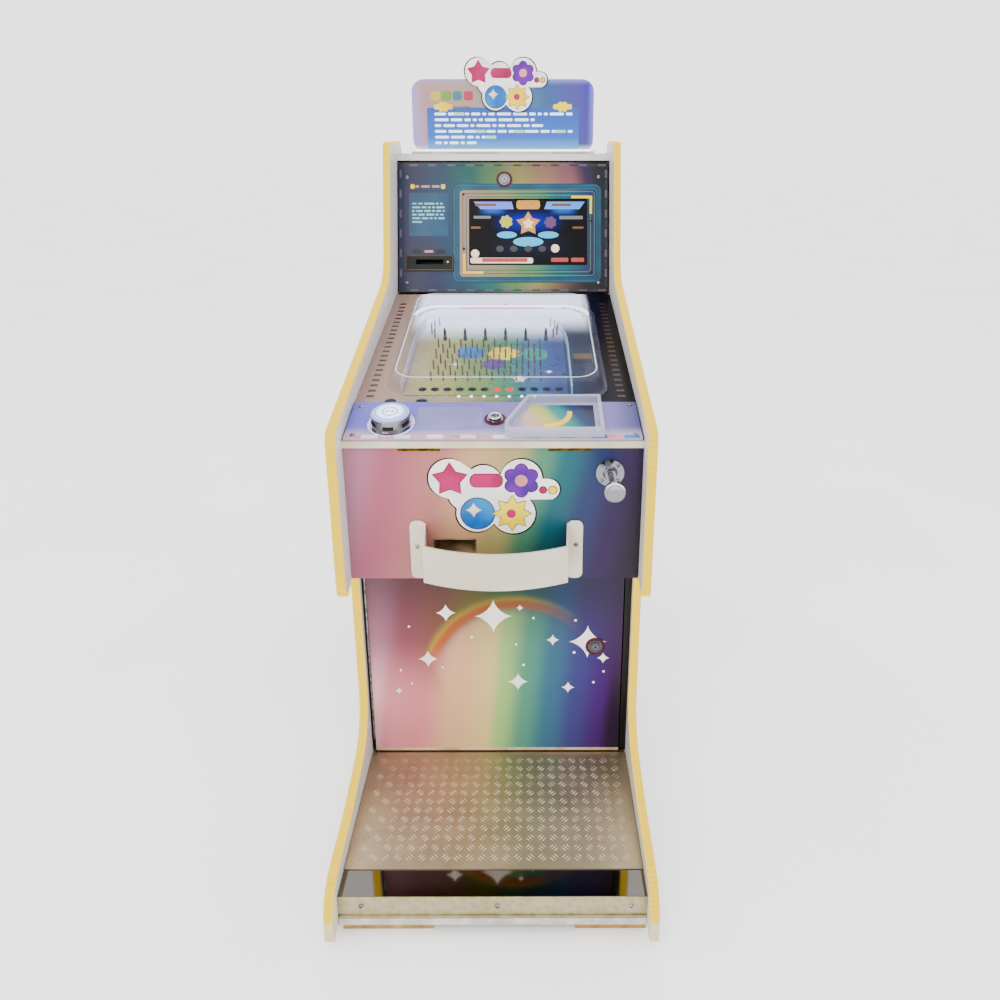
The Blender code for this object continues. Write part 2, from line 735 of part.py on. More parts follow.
def dome():
    """A thermoformed clear cover: a flange, steep walls and a flat top with round corners."""
    height, flange, draft, thick = 0.0450, 0.010, 0.006, 0.003
    rings = (
        (flange, thick + GAP),
        (0.0, thick + GAP),
        (-draft, height),
    )
    bm = bmesh.new()
    loops = []
    for grow, z in rings:
        outline = rectangle(-0.240 - grow, 0.022 - grow, 0.240 + grow, 0.560 + grow, 0.055 + grow, 5)
        loops.append([bm.verts.new((p.x, p.y, z)) for p in outline])
    for lower, upper in zip(loops, loops[1:]):
        for k in range(len(lower)):
            n = (k + 1) % len(lower)
            bm.faces.new((lower[k], lower[n], upper[n], upper[k]))
    bm.faces.new(loops[-1])
    bmesh.ops.recalc_face_normals(bm, faces=bm.faces)
    mesh = bpy.data.meshes.new("dome")
    bm.to_mesh(mesh)
    bm.free()
    cover = add(mesh, "dome_cover", clear_plastic(), DECK)
    bevelled(cover, 0.009, 3, 50)
    shell = cover.modifiers.new("shell", "SOLIDIFY")
    shell.thickness = thick
    shell.offset = -1
    smooth(cover, 60)


# ---------------------------------------------------------------- header and marquee


def header():
    """The hinged header panel with its bezel, display, card reader and lock."""
    panel_outline = rectangle(-PANEL_HALF, 0.0010, PANEL_HALF, HEADER_LENGTH)
    screen = rectangle(-0.105, 0.072, 0.248, 0.275)
    slot = rectangle(-0.258, 0.074, -0.167, 0.100)
    lock = circle(0.003, 0.325, 0.0096)
    panel = add(
        flat_mesh([panel_outline, screen, slot, lock], -HEADER_PLATE, 0), "header_panel", pearl_print(), HEADER
    )
    bezel_outline = rectangle(-0.126, 0.044, 0.266, 0.293, 0.010)
    opening = rectangle(-0.099, 0.078, 0.242, 0.269, 0.003, 2)
    bezel = add(flat_mesh([bezel_outline, opening], GAP, 0.0055), "screen_bezel", black_plastic(), HEADER)
    display = box("display", (-0.119, 0.060, -0.040), (0.262, 0.287, -HEADER_PLATE - GAP), black_plastic(), HEADER)
    reader = box("card_reader", (-0.283, 0.062, GAP), (-0.144, 0.107, 0.0070), black_plastic(), HEADER)
    join(reader, box_mesh((-0.256, 0.076, -0.0600), (-0.169, 0.098, 0.0020)), HEADER)
    cut(reader, box_mesh((-0.252, 0.080, -0.0500), (-0.173, 0.094, 0.0200)), HEADER)
    body, _ = cam_lock("header", HEADER, 0.003, 0.325, 0.0208, 0.036)
    for piece in (panel, bezel, display, reader, body):
        hang(piece, at(0, *HEADER_EDGE))


# Circles whose union is the outline of the sign: centre and radius before scaling
SIGN_LUMPS = (
    (-0.100, 0.040, 0.044),
    (-0.030, 0.034, 0.036),
    (0.047, 0.040, 0.043),
    (0.102, 0.016, 0.024),
    (0.030, -0.038, 0.046),
    (-0.046, -0.038, 0.042),
    (-0.070, 0.004, 0.034),
)
SIGN_CENTRE = (0.0175, 1.6575)
SIGN_SCALE = 0.88


def cloud_outline(lumps, centre, scale, steps=84):
    """The outer edge of overlapping circles, seen from the middle of them."""
    points = []
    for k in range(steps):
        angle = 2 * math.pi * k / steps
        ray = Vector((math.cos(angle), math.sin(angle)))
        far = 0.0
        for x, y, radius in lumps:
            along = ray.dot((x, y))
            across = radius**2 - (x**2 + y**2 - along**2)
            if across > 0:
                far = max(far, along + math.sqrt(across))
        points.append(Vector(centre) + ray * (far * scale))
    return points


def marquee():
    """The lit marquee panel in its channel, with a contoured sign in front of it."""
    front = MARQUEE_STATION - 0.005
    channel = board(
        "marquee_channel",
        (-MARQUEE_HALF - 0.004, MARQUEE_HALF + 0.004),
        (MARQUEE_STATION - 0.013, MARQUEE_STATION + 0.013),
        (HEADER_BOARD_TOP + GAP, HEADER_BOARD_TOP + 0.007),
        white_plastic(),
    )
    slot_low = at(-MARQUEE_HALF - 0.01, front - GAP, MARQUEE_BOTTOM - GAP)
    slot_high = at(MARQUEE_HALF + 0.01, front + 0.010 + GAP, 1.52)
    cut(channel, box_mesh(slot_low, slot_high))
    panel_outline = rectangle(-MARQUEE_HALF, MARQUEE_BOTTOM, MARQUEE_HALF, MARQUEE_TOP, 0.035, 6)
    add(flat_mesh([panel_outline], -0.010, 0), "marquee_panel", clear_plastic(), upright(front))
    outline = cloud_outline(SIGN_LUMPS, SIGN_CENTRE, SIGN_SCALE)
    add(flat_mesh([outline], GAP, 0.0090), "marquee_sign", white_plastic(), upright(front))


# ---------------------------------------------------------------- inside


def ball_path():
    """The trough under the scoring holes, the chute up to the launch lane, and the hopper."""
    trough = box("return_trough", (-0.196, 0.036, -0.0600), (0.172, 0.090, -BOARD - GAP), black_plastic(), DECK)
    cut(trough, box_mesh((-0.193, 0.039, -0.0570), (0.169, 0.087, 0.0)), DECK)
    cut(trough, box_mesh((-0.185, 0.070, -0.0560), (-0.155, 0.100, -0.0300)), DECK)
    floor = strip(rounded([(0.500, 0.8500, 0), (0.560, 0.8500, 0.08), (0.722, 0.9700, 0)]), 0.003)
    chute = add(flat_mesh([floor], 0.201, 0.249), "launch_chute", black_plastic(), side_plane())
    side = rounded([(0.497, 0.8500, 0), (0.560, 0.8500, 0.08), (0.7260, 0.97296, 0)])
    wall = shifted(side, -0.0030) + shifted(side, 0.0180)[::-1]
    for x0, x1 in ((0.2000, 0.2025), (0.2475, 0.2500)):
        join(chute, flat_mesh([wall], x0, x1), side_plane())
    centre = at(-0.150, 0.880, 0)
    place = Matrix.Translation(centre)
    quarter = Matrix.Rotation(math.radians(45), 4, "Z")
    bucket = add(
        round_mesh(0.080, 0.600, 0.760, sides=4, top_radius=0.170), "ball_hopper", white_plastic(), place @ quarter
    )
    cut(bucket, round_mesh(0.0760, 0.604, 0.7601, sides=4, top_radius=0.1660), place @ quarter)
    join(bucket, round_mesh(0.050, 0.5385, 0.602, sides=20), place)


def electrics():
    """Power supply, control board, speaker and mains inlet."""
    supply = board("power_supply", (0.120, 0.280), (1.000, 1.200), (0.0635, 0.130), galvanised())
    bevelled(supply, 0.003, 1)
    control = box(
        "control_board", at(-0.25, BACK_STATION - 0.0125, 0.22), at(-0.05, BACK_STATION - 0.0105, 0.36), circuit()
    )
    for x in (-0.24, -0.06):
        for z in (0.23, 0.35):
            stand = round_mesh(0.003, -0.0115, -GAP, sides=10)
            join(control, stand, Matrix.Translation(at(x, BACK_STATION, z)) @ Matrix.Rotation(math.radians(-90), 4, "X"))
    join(control, box_mesh(at(-0.18, BACK_STATION - 0.0200, 0.27), at(-0.14, BACK_STATION - 0.0120, 0.31)))
    place = Matrix.Translation(at(0.2, 0.402, BOX_BOTTOM + BOARD + GAP))
    speaker = add(round_mesh(0.033, 0.0, 0.004), "speaker", black_plastic(), place)
    join(speaker, round_mesh(0.030, 0.003, 0.024, top_radius=0.016), place)
    join(speaker, round_mesh(0.020, 0.023, 0.036), place)
    cut(speaker, round_mesh(0.024, -0.005, 0.014, top_radius=0.008), place)
    smooth(speaker)
    back = BACK_STATION + BOARD
    inlet = board("power_inlet", (0.168, 0.232), (back + GAP, back + 0.0040), (0.168, 0.212), black_plastic())
    join(inlet, box_mesh(at(0.177, BACK_STATION - 0.012, 0.177), at(0.223, back + 0.002, 0.203)))
    cut(inlet, box_mesh(at(0.186, back - 0.016, 0.182), at(0.214, back + 0.010, 0.198)))


def main():
    start()
    side_boards()
    inner_boards()
    front_panel()
    base()
    service_door()
    catch_tray()
    shooter()
    outlet_chute()
    console()
    playfield()
    header()
    marquee()
    ball_path()
    electrics()


main()
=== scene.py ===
"""The looks of a marble pinball machine: camera, light, materials and small pieces around its CAD frame.

Metres, +Z up, the front at -Y. Each panel has its own plane: x to the right, y up the panel, z out of it.
"""

import json
import math

import bmesh
import bpy
from mathutils import Matrix, Vector
from mathutils.geometry import tessellate_polygon


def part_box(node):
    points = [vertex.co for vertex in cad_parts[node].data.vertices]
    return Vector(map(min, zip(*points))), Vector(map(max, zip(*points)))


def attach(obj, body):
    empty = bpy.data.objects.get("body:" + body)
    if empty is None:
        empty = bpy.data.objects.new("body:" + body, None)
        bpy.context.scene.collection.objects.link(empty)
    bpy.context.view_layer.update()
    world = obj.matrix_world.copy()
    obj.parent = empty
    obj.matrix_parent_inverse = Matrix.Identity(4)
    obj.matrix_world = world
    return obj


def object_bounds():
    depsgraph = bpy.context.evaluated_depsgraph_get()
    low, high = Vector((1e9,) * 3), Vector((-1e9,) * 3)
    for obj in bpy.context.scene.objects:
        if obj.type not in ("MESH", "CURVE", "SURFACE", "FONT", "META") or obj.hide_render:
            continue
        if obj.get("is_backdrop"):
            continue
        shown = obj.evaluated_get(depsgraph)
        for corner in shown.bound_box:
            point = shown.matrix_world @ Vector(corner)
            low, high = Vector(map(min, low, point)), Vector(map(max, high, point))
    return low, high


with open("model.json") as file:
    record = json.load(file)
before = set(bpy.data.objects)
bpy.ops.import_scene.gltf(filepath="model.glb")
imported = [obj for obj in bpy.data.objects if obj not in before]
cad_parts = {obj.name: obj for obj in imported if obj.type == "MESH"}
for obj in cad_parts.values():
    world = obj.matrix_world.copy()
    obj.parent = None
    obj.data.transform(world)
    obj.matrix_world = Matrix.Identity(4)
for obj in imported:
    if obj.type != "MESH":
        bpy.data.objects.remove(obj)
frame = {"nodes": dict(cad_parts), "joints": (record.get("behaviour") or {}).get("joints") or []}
CAD_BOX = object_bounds()
NODES = frame["nodes"]
PIVOTS = {joint["name"]: joint.get("pos_m") for joint in frame["joints"]}


def plane(origin, tilt):
    """The frame of a panel that leans back by tilt degrees from level."""
    return Matrix.Translation(origin) @ Matrix.Rotation(math.radians(tilt), 4, "X")


def lifted(place, height):
    """The same plane, raised along its own z."""
    return place @ Matrix.Translation((0, 0, height))


def front_of(node):
    """The upright plane of a node's front face, with world x and height as its x and y."""
    return plane((0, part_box(node)[0].y, 0), 90)


HEADER = plane(PIVOTS["header_door_hinge"], 74)
CONSOLE = plane((0, -0.330, 0.9375), 14.1)
DECK = plane((0, -0.190, 0.966), 10.37)
FRONT = front_of("front_panel")
DOOR = front_of("service_door")
MARQUEE = front_of("marquee_panel")
SIGN = front_of("marquee_sign")

BUTTON = Vector((-0.213, 0.056))
CONSOLE_LOCK = Vector((0.002, 0.071))
HEADER_LOCK = Vector((0.003, 0.325))
DOOR_LOCK = Vector((PIVOTS["door_lock_turn"][0], PIVOTS["door_lock_turn"][2]))
BOX_WIDTH = 0.613
LID_WIDTH = 0.606
DOOR_WIDTH = 0.576
HOLES = [(-0.165 + 0.0278 * k, 0.062) for k in range(12)]
SHOOTER = Vector((0.239, 0.862))


# ---------------------------------------------------------------- materials

RICHNESS = 1.50
DEPTH = 0.60


def rgb(code):
    """A linear colour from a #rrggbb code, made richer and deeper because the view transform pales it."""
    parts = [int(code[k : k + 2], 16) / 255 for k in (1, 3, 5)]
    linear = [c / 12.92 if c <= 0.04045 else ((c + 0.055) / 1.055) ** 2.4 for c in parts]
    grey = sum(linear) / 3
    return tuple(min(max(grey + (c - grey) * RICHNESS, 0.0), 1.0) * grey**DEPTH for c in linear)


class Value:
    """A number inside a material. Arithmetic on it adds Math nodes."""

    def __init__(self, paint, socket):
        self.paint = paint
        self.socket = socket

    def op(self, operation, *others, clamp=False):
        node = self.paint.node("ShaderNodeMath", operation=operation, use_clamp=clamp)
        for socket, value in zip(node.inputs, (self, *others)):
            self.paint.feed(socket, value)
        return Value(self.paint, node.outputs[0])

    def __add__(self, other):
        return self.op("ADD", other)

    def __sub__(self, other):
        return self.op("SUBTRACT", other)

    def __mul__(self, other):
        return self.op("MULTIPLY", other)

    def __truediv__(self, other):
        return self.op("DIVIDE", other)

    def __abs__(self):
        return self.op("ABSOLUTE")

    def wave(self, pitch):
        """0 to 1 and back over each pitch."""
        return (self * (2 * math.pi / pitch)).op("COSINE") * 0.5 + 0.5


class Paint:
    """A material being built on one Principled shader."""

    def __init__(self, name, colour="#808080", roughness=0.5, **sockets):
        self.material = bpy.data.materials.new(name)
        self.material.use_nodes = True
        self.tree = self.material.node_tree
        self.shader = self.tree.nodes["Principled BSDF"]
        self.set("Base Color", rgb(colour))
        self.set("Roughness", roughness)
        for key, value in sockets.items():
            self.set(key.replace("_", " "), value)

    def node(self, kind, **settings):
        node = self.tree.nodes.new(kind)
        for key, value in settings.items():
            setattr(node, key, value)
        return node

    def feed(self, socket, value):
        if isinstance(value, Value):
            self.tree.links.new(value.socket, socket)
        elif isinstance(value, tuple) and len(value) == 3 and socket.type == "RGBA":
            socket.default_value = (*value, 1.0)
        else:
            socket.default_value = value

    def set(self, name, value):
        self.feed(self.shader.inputs[name], value)
        return self

    def place(self, at=None, stretch=(1, 1, 1)):
        """The surface point in a plane's frame, as a vector."""
        inverse = (at or Matrix.Identity(4)).inverted()
        source = self.node("ShaderNodeTexCoord")
        mapping = self.node("ShaderNodeMapping")
        mapping.inputs["Location"].default_value = inverse.translation
        mapping.inputs["Rotation"].default_value = inverse.to_euler()
        self.tree.links.new(source.outputs["Object"], mapping.inputs["Vector"])
        if stretch == (1, 1, 1):
            return Value(self, mapping.outputs[0])
        scaled = self.node("ShaderNodeVectorMath", operation="MULTIPLY")
        self.tree.links.new(mapping.outputs[0], scaled.inputs[0])
        scaled.inputs[1].default_value = stretch
        return Value(self, scaled.outputs[0])

    def axes(self, at=None):
        split = self.node("ShaderNodeSeparateXYZ")
        self.feed(split.inputs[0], self.place(at))
        return [Value(self, socket) for socket in split.outputs]

    def noise(self, scale, at=None, stretch=(1, 1, 1), detail=3.0):
        node = self.node("ShaderNodeTexNoise")
        node.inputs["Scale"].default_value = scale
        node.inputs["Detail"].default_value = detail
        self.feed(node.inputs["Vector"], self.place(at, stretch))
        return Value(self, node.outputs[0])

    def smooth(self, value, low, high, to_low=0.0, to_high=1.0):
        node = self.node("ShaderNodeMapRange", interpolation_type="SMOOTHSTEP")
        for socket, number in zip(node.inputs, (value, low, high, to_low, to_high)):
            self.feed(socket, number)
        return Value(self, node.outputs[0])

    def ramp(self, value, *stops):
        """A colour from (position, code) stops."""
        node = self.node("ShaderNodeValToRGB")
        node.color_ramp.interpolation = "EASE"
        elements = node.color_ramp.elements
        while len(elements) < len(stops):
            elements.new(0.5)
        for element, (position, code) in zip(elements, stops):
            element.position = position
            element.color = (*rgb(code), 1.0)
        self.feed(node.inputs[0], value)
        return Value(self, node.outputs[0])

    def mix(self, amount, first, second, blend="MIX"):
        node = self.node("ShaderNodeMix", data_type="RGBA", blend_type=blend)
        self.feed(node.inputs[0], amount)
        self.feed(node.inputs[6], rgb(first) if isinstance(first, str) else first)
        self.feed(node.inputs[7], rgb(second) if isinstance(second, str) else second)
        return Value(self, node.outputs[2])

    def bump(self, height, distance, strength=1.0):
        node = self.node("ShaderNodeBump")
        node.inputs["Strength"].default_value = strength
        node.inputs["Distance"].default_value = distance
        self.feed(node.inputs["Height"], height)
        self.tree.links.new(node.outputs[0], self.shader.inputs["Normal"])
        return self

    def grain(self, scale, distance, strength):
        """A bump of plain noise."""
        return self.bump(self.noise(scale), distance, strength)

    def mottle(self, first, second, scale=60, low=0.35, high=0.65):
        """Two close colours in soft patches."""
        patches = self.smooth(self.noise(scale), low, high)
        return self.set("Base Color", self.mix(patches, first, second))

    def worn(self, low, high, scale=40):
        """Roughness that wanders between two numbers."""
        return self.set("Roughness", self.noise(scale) * (high - low) + low)


def moulded(name, colour, shade, low=0.32, high=0.45, grain=900, **sockets):
    """Plastic with a fine grain and a faint drift of colour."""
    paint = Paint(name, colour, **sockets).mottle(colour, shade, 25).worn(low, high)
    return paint.grain(grain, 0.0001, 0.35).material


def metal(name, colour, shade, low, high, stretch=(1, 1, 1), scale=80):
    """Metal with fine streaks that run along the stretched axis."""
    paint = Paint(name, colour, Metallic=1.0).mottle(colour, shade, scale)
    streaks = paint.noise(scale * 4, stretch=stretch)
    paint.set("Roughness", streaks * (high - low) + low)
    return paint.bump(streaks, 0.0001, 0.15).material


def chrome(name, under, dark, level, bright, over):
    """Polished metal with a painted reflection: its base colour follows the way each surface faces, like a
    room with a dark floor line.
    """
    paint = Paint(name, Metallic=1.0)
    split = paint.node("ShaderNodeSeparateXYZ")
    paint.tree.links.new(paint.node("ShaderNodeTexCoord").outputs["Normal"], split.inputs[0])
    reflection_facing = Value(paint, split.outputs[2]) * 0.5 + 0.5
    stops = ((0.0, under), (0.27, dark), (0.37, level), (0.52, level), (0.70, bright), (1.0, over))
    paint.set("Base Color", paint.ramp(reflection_facing, *stops))
    smear = paint.noise(60)
    return paint.set("Roughness", smear * 0.07 + 0.06).bump(smear, 0.0001, 0.1).material


def glowing(name, colour, strength, core=None):
    """A lit surface with a little unevenness."""
    paint = Paint(name, colour, 0.35, Emission_Strength=strength)
    uneven = paint.smooth(paint.noise(180), 0.3, 0.7)
    paint.set("Emission Color", paint.mix(uneven, colour, core or colour))
    return paint.material


def ink(name, colour, shade=None, roughness=0.35):
    """Printed ink with a fine screen of dots."""
    paint = Paint(name, colour, roughness, Specular_IOR_Level=0.25).mottle(colour, shade or colour, 14)
    return paint.grain(1500, 0.00005, 0.08).material


def fronted(paint, z, colour):
    """The print on a board's front face only: its back and its core are bare board."""
    return paint.mix(paint.smooth(z, -0.0030, -0.0012), "#a8906c", colour)


def gloss_print(paint):
    """The clear gloss film over a print, with a faint orange peel."""
    paint.set("Specular IOR Level", 0.22).set("Coat Weight", 0.06).set("Coat Roughness", 0.10)
    return paint.grain(260, 0.00005, 0.06).material


def printed_board(node, paint, z, colour, high=0.40):
    """A board with a glossy print on its front and bare board behind."""
    paint.set("Base Color", fronted(paint, z, colour)).worn(0.29, high, 8)
    finish(gloss_print(paint), node, edge=0.0008)


# ---------------------------------------------------------------- outlines


def rectangle(x0, y0, x1, y1, radius=0.0, steps=4):
    """A rectangle's corners, anticlockwise, rounded if a radius is given."""
    if not radius:
        return path((x0, y0), (x1, y0), (x1, y1), (x0, y1))
    points = []
    corners = ((x1, y0, -90), (x1, y1, 0), (x0, y1, 90), (x0, y0, 180))
    for x, y, start in corners:
        centre = Vector((x - radius if x == x1 else x + radius, y - radius if y == y1 else y + radius))
        points += [centre + polar(radius, start + 90 * k / steps) for k in range(steps + 1)]
    return points


def path(*points):
    return [Vector(point) for point in points]


def polar(radius, degrees):
    return Vector((radius * math.cos(math.radians(degrees)), radius * math.sin(math.radians(degrees))))


def circle(centre, radius, sides=24):
    return [Vector(centre) + polar(radius, 360 * k / sides) for k in range(sides)]


def star(centre, outer, inner, points, turn=90.0):
    radii = (outer, inner)
    return [Vector(centre) + polar(radii[k % 2], turn + 180 * k / points) for k in range(2 * points)]


def sparkle(centre, radius, sides=32):
    """A star of four points with hollow sides."""
    turns = [2 * math.pi * k / sides for k in range(sides)]
    return [Vector(centre) + radius * Vector((math.cos(t) ** 3, math.sin(t) ** 3)) for t in turns]


def lobed(centre, radius, lobes, depth, steps=6):
    """A soft flower or cloud shape."""
    count = lobes * steps
    reach = [radius * (1 - depth * (1 - abs(math.sin(math.pi * k / steps)))) for k in range(count)]
    return [Vector(centre) + polar(reach[k], 360 * k / count) for k in range(count)]


def grown(points, amount):
    """The outline moved outwards by an amount."""
    result = []
    for k, point in enumerate(points):
        before, after = points[k - 1], points[(k + 1) % len(points)]
        along = (after - before).normalized()
        result.append(point + Vector((along.y, -along.x)) * amount)
    return result


# ---------------------------------------------------------------- pieces


def added(name, data):
    """A new object in the scene."""
    obj = bpy.data.objects.new(name, data)
    bpy.context.scene.collection.objects.link(obj)
    return obj


class Piece:
    """A mesh being built in a plane's frame, which will ride on a CAD body."""

    def __init__(self, name, body, place):
        self.name = name
        self.body = body
        self.place = place
        self.bm = bmesh.new()
        self.materials = []

    def use(self, material):
        """What is added next has this material."""
        if material not in self.materials:
            self.materials.append(material)
        self.slot = self.materials.index(material)
        return self

    def face(self, corners):
        try:
            made = self.bm.faces.new(corners)
        except ValueError:
            return
        made.material_index = self.slot

    def loop(self, points, height):
        return [self.bm.verts.new((p.x, p.y, height)) for p in points]

    def skin(self, lower, upper):
        for k in range(len(lower)):
            n = (k + 1) % len(lower)
            self.face((lower[k], lower[n], upper[n], upper[k]))

    def slab(self, points, low, high, bevel=0.0):
        """A flat shape between two heights, with a chamfer round its top."""
        rings = [self.loop(points, low), self.loop(points, high - bevel)]
        if bevel:
            rings.append(self.loop(grown(points, -bevel), high))
        for lower, upper in zip(rings, rings[1:]):
            self.skin(lower, upper)
        self.cap(rings[-1])
        self.cap(rings[0][::-1])
        return self

    def cap(self, ring):
        """Closes a ring, with triangles if it may be hollow-sided."""
        if len(ring) <= 4:
            self.face(ring)
            return
        for corners in tessellate_polygon([[vert.co for vert in ring]]):
            self.face([ring[k] for k in corners])

    def frame(self, outer, inner, low, high):
        """A flat ring between two outlines of equally many points."""
        sides = ((outer, low), (outer, high), (inner, high), (inner, low))
        loops = [self.loop(points, height) for points, height in sides]
        for k in range(4):
            self.skin(loops[k], loops[(k + 1) % 4])
        return self

    def bar(self, corners, high, low=0.0):
        """A flat rectangle: x0, y0, x1, y1 and, if it is rounded, the radius and its steps."""
        return self.slab(rectangle(*corners), low, high)

    def edged(self, outline, width, high):
        """A flat line of some width, just inside an outline."""
        return self.frame(outline, grown(outline, -width), 0.0, high)

    def ring(self, centre, outer, inner, low, high, sides=48):
        return self.frame(circle(centre, outer, sides), circle(centre, inner, sides), low, high)

    def turned(self, centre, profile, sides=32):
        """A shape turned about its centre from (radius, height) steps. It starts and ends closed."""
        rings = [self.loop(circle(centre, radius, sides), height) for radius, height in profile]
        for lower, upper in zip(rings, rings[1:]):
            self.skin(lower, upper)
        self.face(rings[-1])
        self.face(rings[0][::-1])
        return self

    def done(self, smooth_below=40, bevel=0.0):
        mesh = bpy.data.meshes.new(self.name)
        bmesh.ops.triangulate(self.bm, faces=[f for f in self.bm.faces if len(f.verts) > 8])
        bmesh.ops.recalc_face_normals(self.bm, faces=self.bm.faces)
        self.bm.transform(self.place)
        self.bm.to_mesh(mesh)
        self.bm.free()
        obj = added(self.name, mesh)
        for material in self.materials:
            mesh.materials.append(material)
        if bevel:
            rounded(obj, bevel)
        if smooth_below:
            mesh.set_sharp_from_angle(angle=math.radians(smooth_below))
            mesh.polygons.foreach_set("use_smooth", [True] * len(mesh.polygons))
        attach(obj, self.body)


def rounded(obj, width):
    """A bevel modifier on the object's sharp edges."""
    edge = obj.modifiers.new("edge", "BEVEL")
    edge.width = width
    edge.segments = 2
    edge.limit_method = "ANGLE"
    return edge


def finish(material, *nodes, edge=0.0):
    """Gives CAD nodes a material and, if an edge is given, rounded corners that catch the light."""
    for node in nodes:
        obj = NODES[node]
        obj.data.materials.clear()
        obj.data.materials.append(material)
        if edge:
            rounded(obj, edge).angle_limit = math.radians(35)


def screws(name, body, place, centres, radius, height):
    """Pan-head screws with a hex recess."""
    piece = Piece(name, body, place)
    steps = ((1.0, 0.0), (1.0, 0.45), (0.86, 0.80), (0.5, 1.0))
    dome = [(radius * across, height * up) for across, up in steps]
    for centre in centres:
        piece.use(SCREW).turned(centre, dome, 20)
        # The hex recess is a flat dark hexagon: painted shade in the recess.
        piece.use(DARK).slab(circle(centre, radius * 0.38, 6), height - 0.0002, height + 0.0001)
    piece.done()


def sheet(name, body, place, material, outline, low, high, bevel=0.0):
    """A piece that is one flat shape."""
    Piece(name, body, place).use(material).slab(outline, low, high, bevel).done()


# ---------------------------------------------------------------- shared materials

SCREW = metal("screw_steel", "#b9b9bb", "#8d8e92", 0.22, 0.40)
# Black ink for printed outlines and marks; it also stands as painted shade in the screws' hex recesses and
# the keyholes.
DARK = ink("black_ink_and_painted_shade", "#08080a", "#141418", 0.5)
CHROME = chrome("chrome_plate", "#4a4a50", "#26262b", "#a2a2a8", "#f0f0f4", "#c6c6cc")
LOCK_CHROME = chrome("lock_plate", "#3c3a3c", "#1e1d20", "#77757a", "#a9a8ac", "#b8b8bd")
MAROON = moulded("maroon_washer", "#6a1a30", "#7c2440", 0.3, 0.4, Specular_IOR_Level=0.2)
WHITE_INK = ink("white_ink", "#f3efec", "#e6e1de")
YELLOW_INK = ink("yellow_ink", "#e8c93e", "#f0dd62")
PINK_INK = ink("pink_ink", "#b8206a", "#cc3c84")
PURPLE_INK = ink("purple_ink", "#6a3aa4", "#8a50b8")
BLUE_INK = ink("blue_ink", "#2f78c4", "#4a98d4")
TEAL_INK = ink("teal_ink", "#4c9a90", "#68b0a0")
CREAM_INK = ink("cream_ink", "#d9d0bd", "#e8e0cf")
ROSE_INK = ink("rose_ink", "#cf9896", "#dbaaa4")


# ---------------------------------------------------------------- cabinet


def board_materials():
    """White laminate, bare plywood, black edges and the lit edge strips."""
    white = Paint("white_laminate", "#d9d6d2").mottle("#dbd8d5", "#d9d6d3", 9).worn(0.40, 0.46, 9)
    white.grain(700, 0.00008, 0.25)
    finish(white.material, "side_panel_left", "side_panel_right", "header_top_board", edge=0.0010)
    trim = Paint("trim_laminate", "#d8d1bf").mottle("#dbd4c2", "#cdc5b2", 12).worn(0.30, 0.45)
    finish(trim.grain(500, 0.0001, 0.2).material, "front_trim", edge=0.0015)
    wood = Paint("plywood")
    figure = wood.noise(9, stretch=(5, 1, 0.35), detail=8)
    fine = wood.noise(70, stretch=(5, 1, 0.2), detail=4)
    shade = wood.ramp(figure * 0.7 + fine * 0.3, (0.30, "#a88a60"), (0.50, "#bb9c6c"), (0.68, "#cbb080"))
    wood.set("Base Color", shade).bump(figure + fine, 0.0006, 0.5).worn(0.6, 0.85)
    boards = ("skid_left", "skid_right", "back_panel", "floor_board", "hopper_shelf", "box_bottom_board")
    finish(wood.material, *boards, edge=0.0010)
    black = Paint("black_edge", "#0b0a0d").mottle("#0b0a0d", "#17151b", 30).worn(0.25, 0.45)
    black.set("Specular IOR Level", 0.2).grain(300, 0.0001, 0.2)
    finish(black.material, "door_stile_left", "door_stile_right", "header_rail", edge=0.0008)
    lit_edges()


def lit_edges():
    """Milky light strips along the side boards: a cell of light every 14 mm, and unlit tips at the feet."""
    pitch, tip = 0.014, 0.069
    paint = Paint("lit_edge", "#f0c860", 0.45).set("Specular IOR Level", 0.2)
    _, y, z = paint.axes()
    cell = (y + z).wave(pitch)
    soft = paint.smooth(paint.noise(35), 0.3, 0.7)
    glow = paint.ramp(cell * 0.75 + soft * 0.25, (0.0, "#ffcb34"), (0.55, "#ffcf38"), (1.0, "#ffd340"))
    on = paint.smooth(z, tip - 0.004, tip + 0.002)
    paint.set("Base Color", paint.mix(on, "#d8cdb0", "#4a3608")).set("Emission Color", glow)
    paint.set("Emission Strength", on * (cell * 0.12 + 2.7)).grain(300, 0.0001, 0.2)
    finish(paint.material, "led_strip_left", "led_strip_right", edge=0.0050)


# ---------------------------------------------------------------- front and leg


def front_box():
    """The printed front with its emblem, the catch tray, the ball outlet and the shooter."""
    paint = Paint("front_print")
    x, y, z = paint.axes(FRONT)
    drift = paint.noise(2.2, FRONT)
    along = (x - (y - 0.76) * 0.20 + drift * 0.05) / BOX_WIDTH + 0.46
    colour = paint.ramp(
        along,
        (0.00, "#b88a9c"), (0.10, "#ba7888"), (0.27, "#c08a86"), (0.40, "#ccaa8e"), (0.53, "#b3ab80"),
        (0.62, "#6a9a80"), (0.70, "#3f7a84"), (0.80, "#42507e"), (0.90, "#442a68"), (1.00, "#280f3c"),
    )
    colour = paint.mix(paint.smooth(y, 0.90, 0.62) * 0.18, colour, "#5a3a5e")
    printed_board("front_panel", paint, z, colour)
    emblem("front_emblem", "cabinet", FRONT, (0.010, 0.808), 0.150, 0.0002, 0.0012)
    milk = Paint("tray_plastic", "#d8d3c4").mottle("#dcd7c8", "#cfc9b9", 6).worn(0.36, 0.50)
    finish(milk.grain(260, 0.0002, 0.35).material, "catch_tray", edge=0.0014)
    finish(moulded("chute_plastic", "#b9a58a", "#8d7860"), "outlet_chute")
    centres = [(-0.163, 0.695), (0.172, 0.699)]
    flange = lifted(FRONT, 0.0040)
    screws("tray_screws", "cabinet", flange, centres, 0.0048, 0.0026)
    shooter_looks()


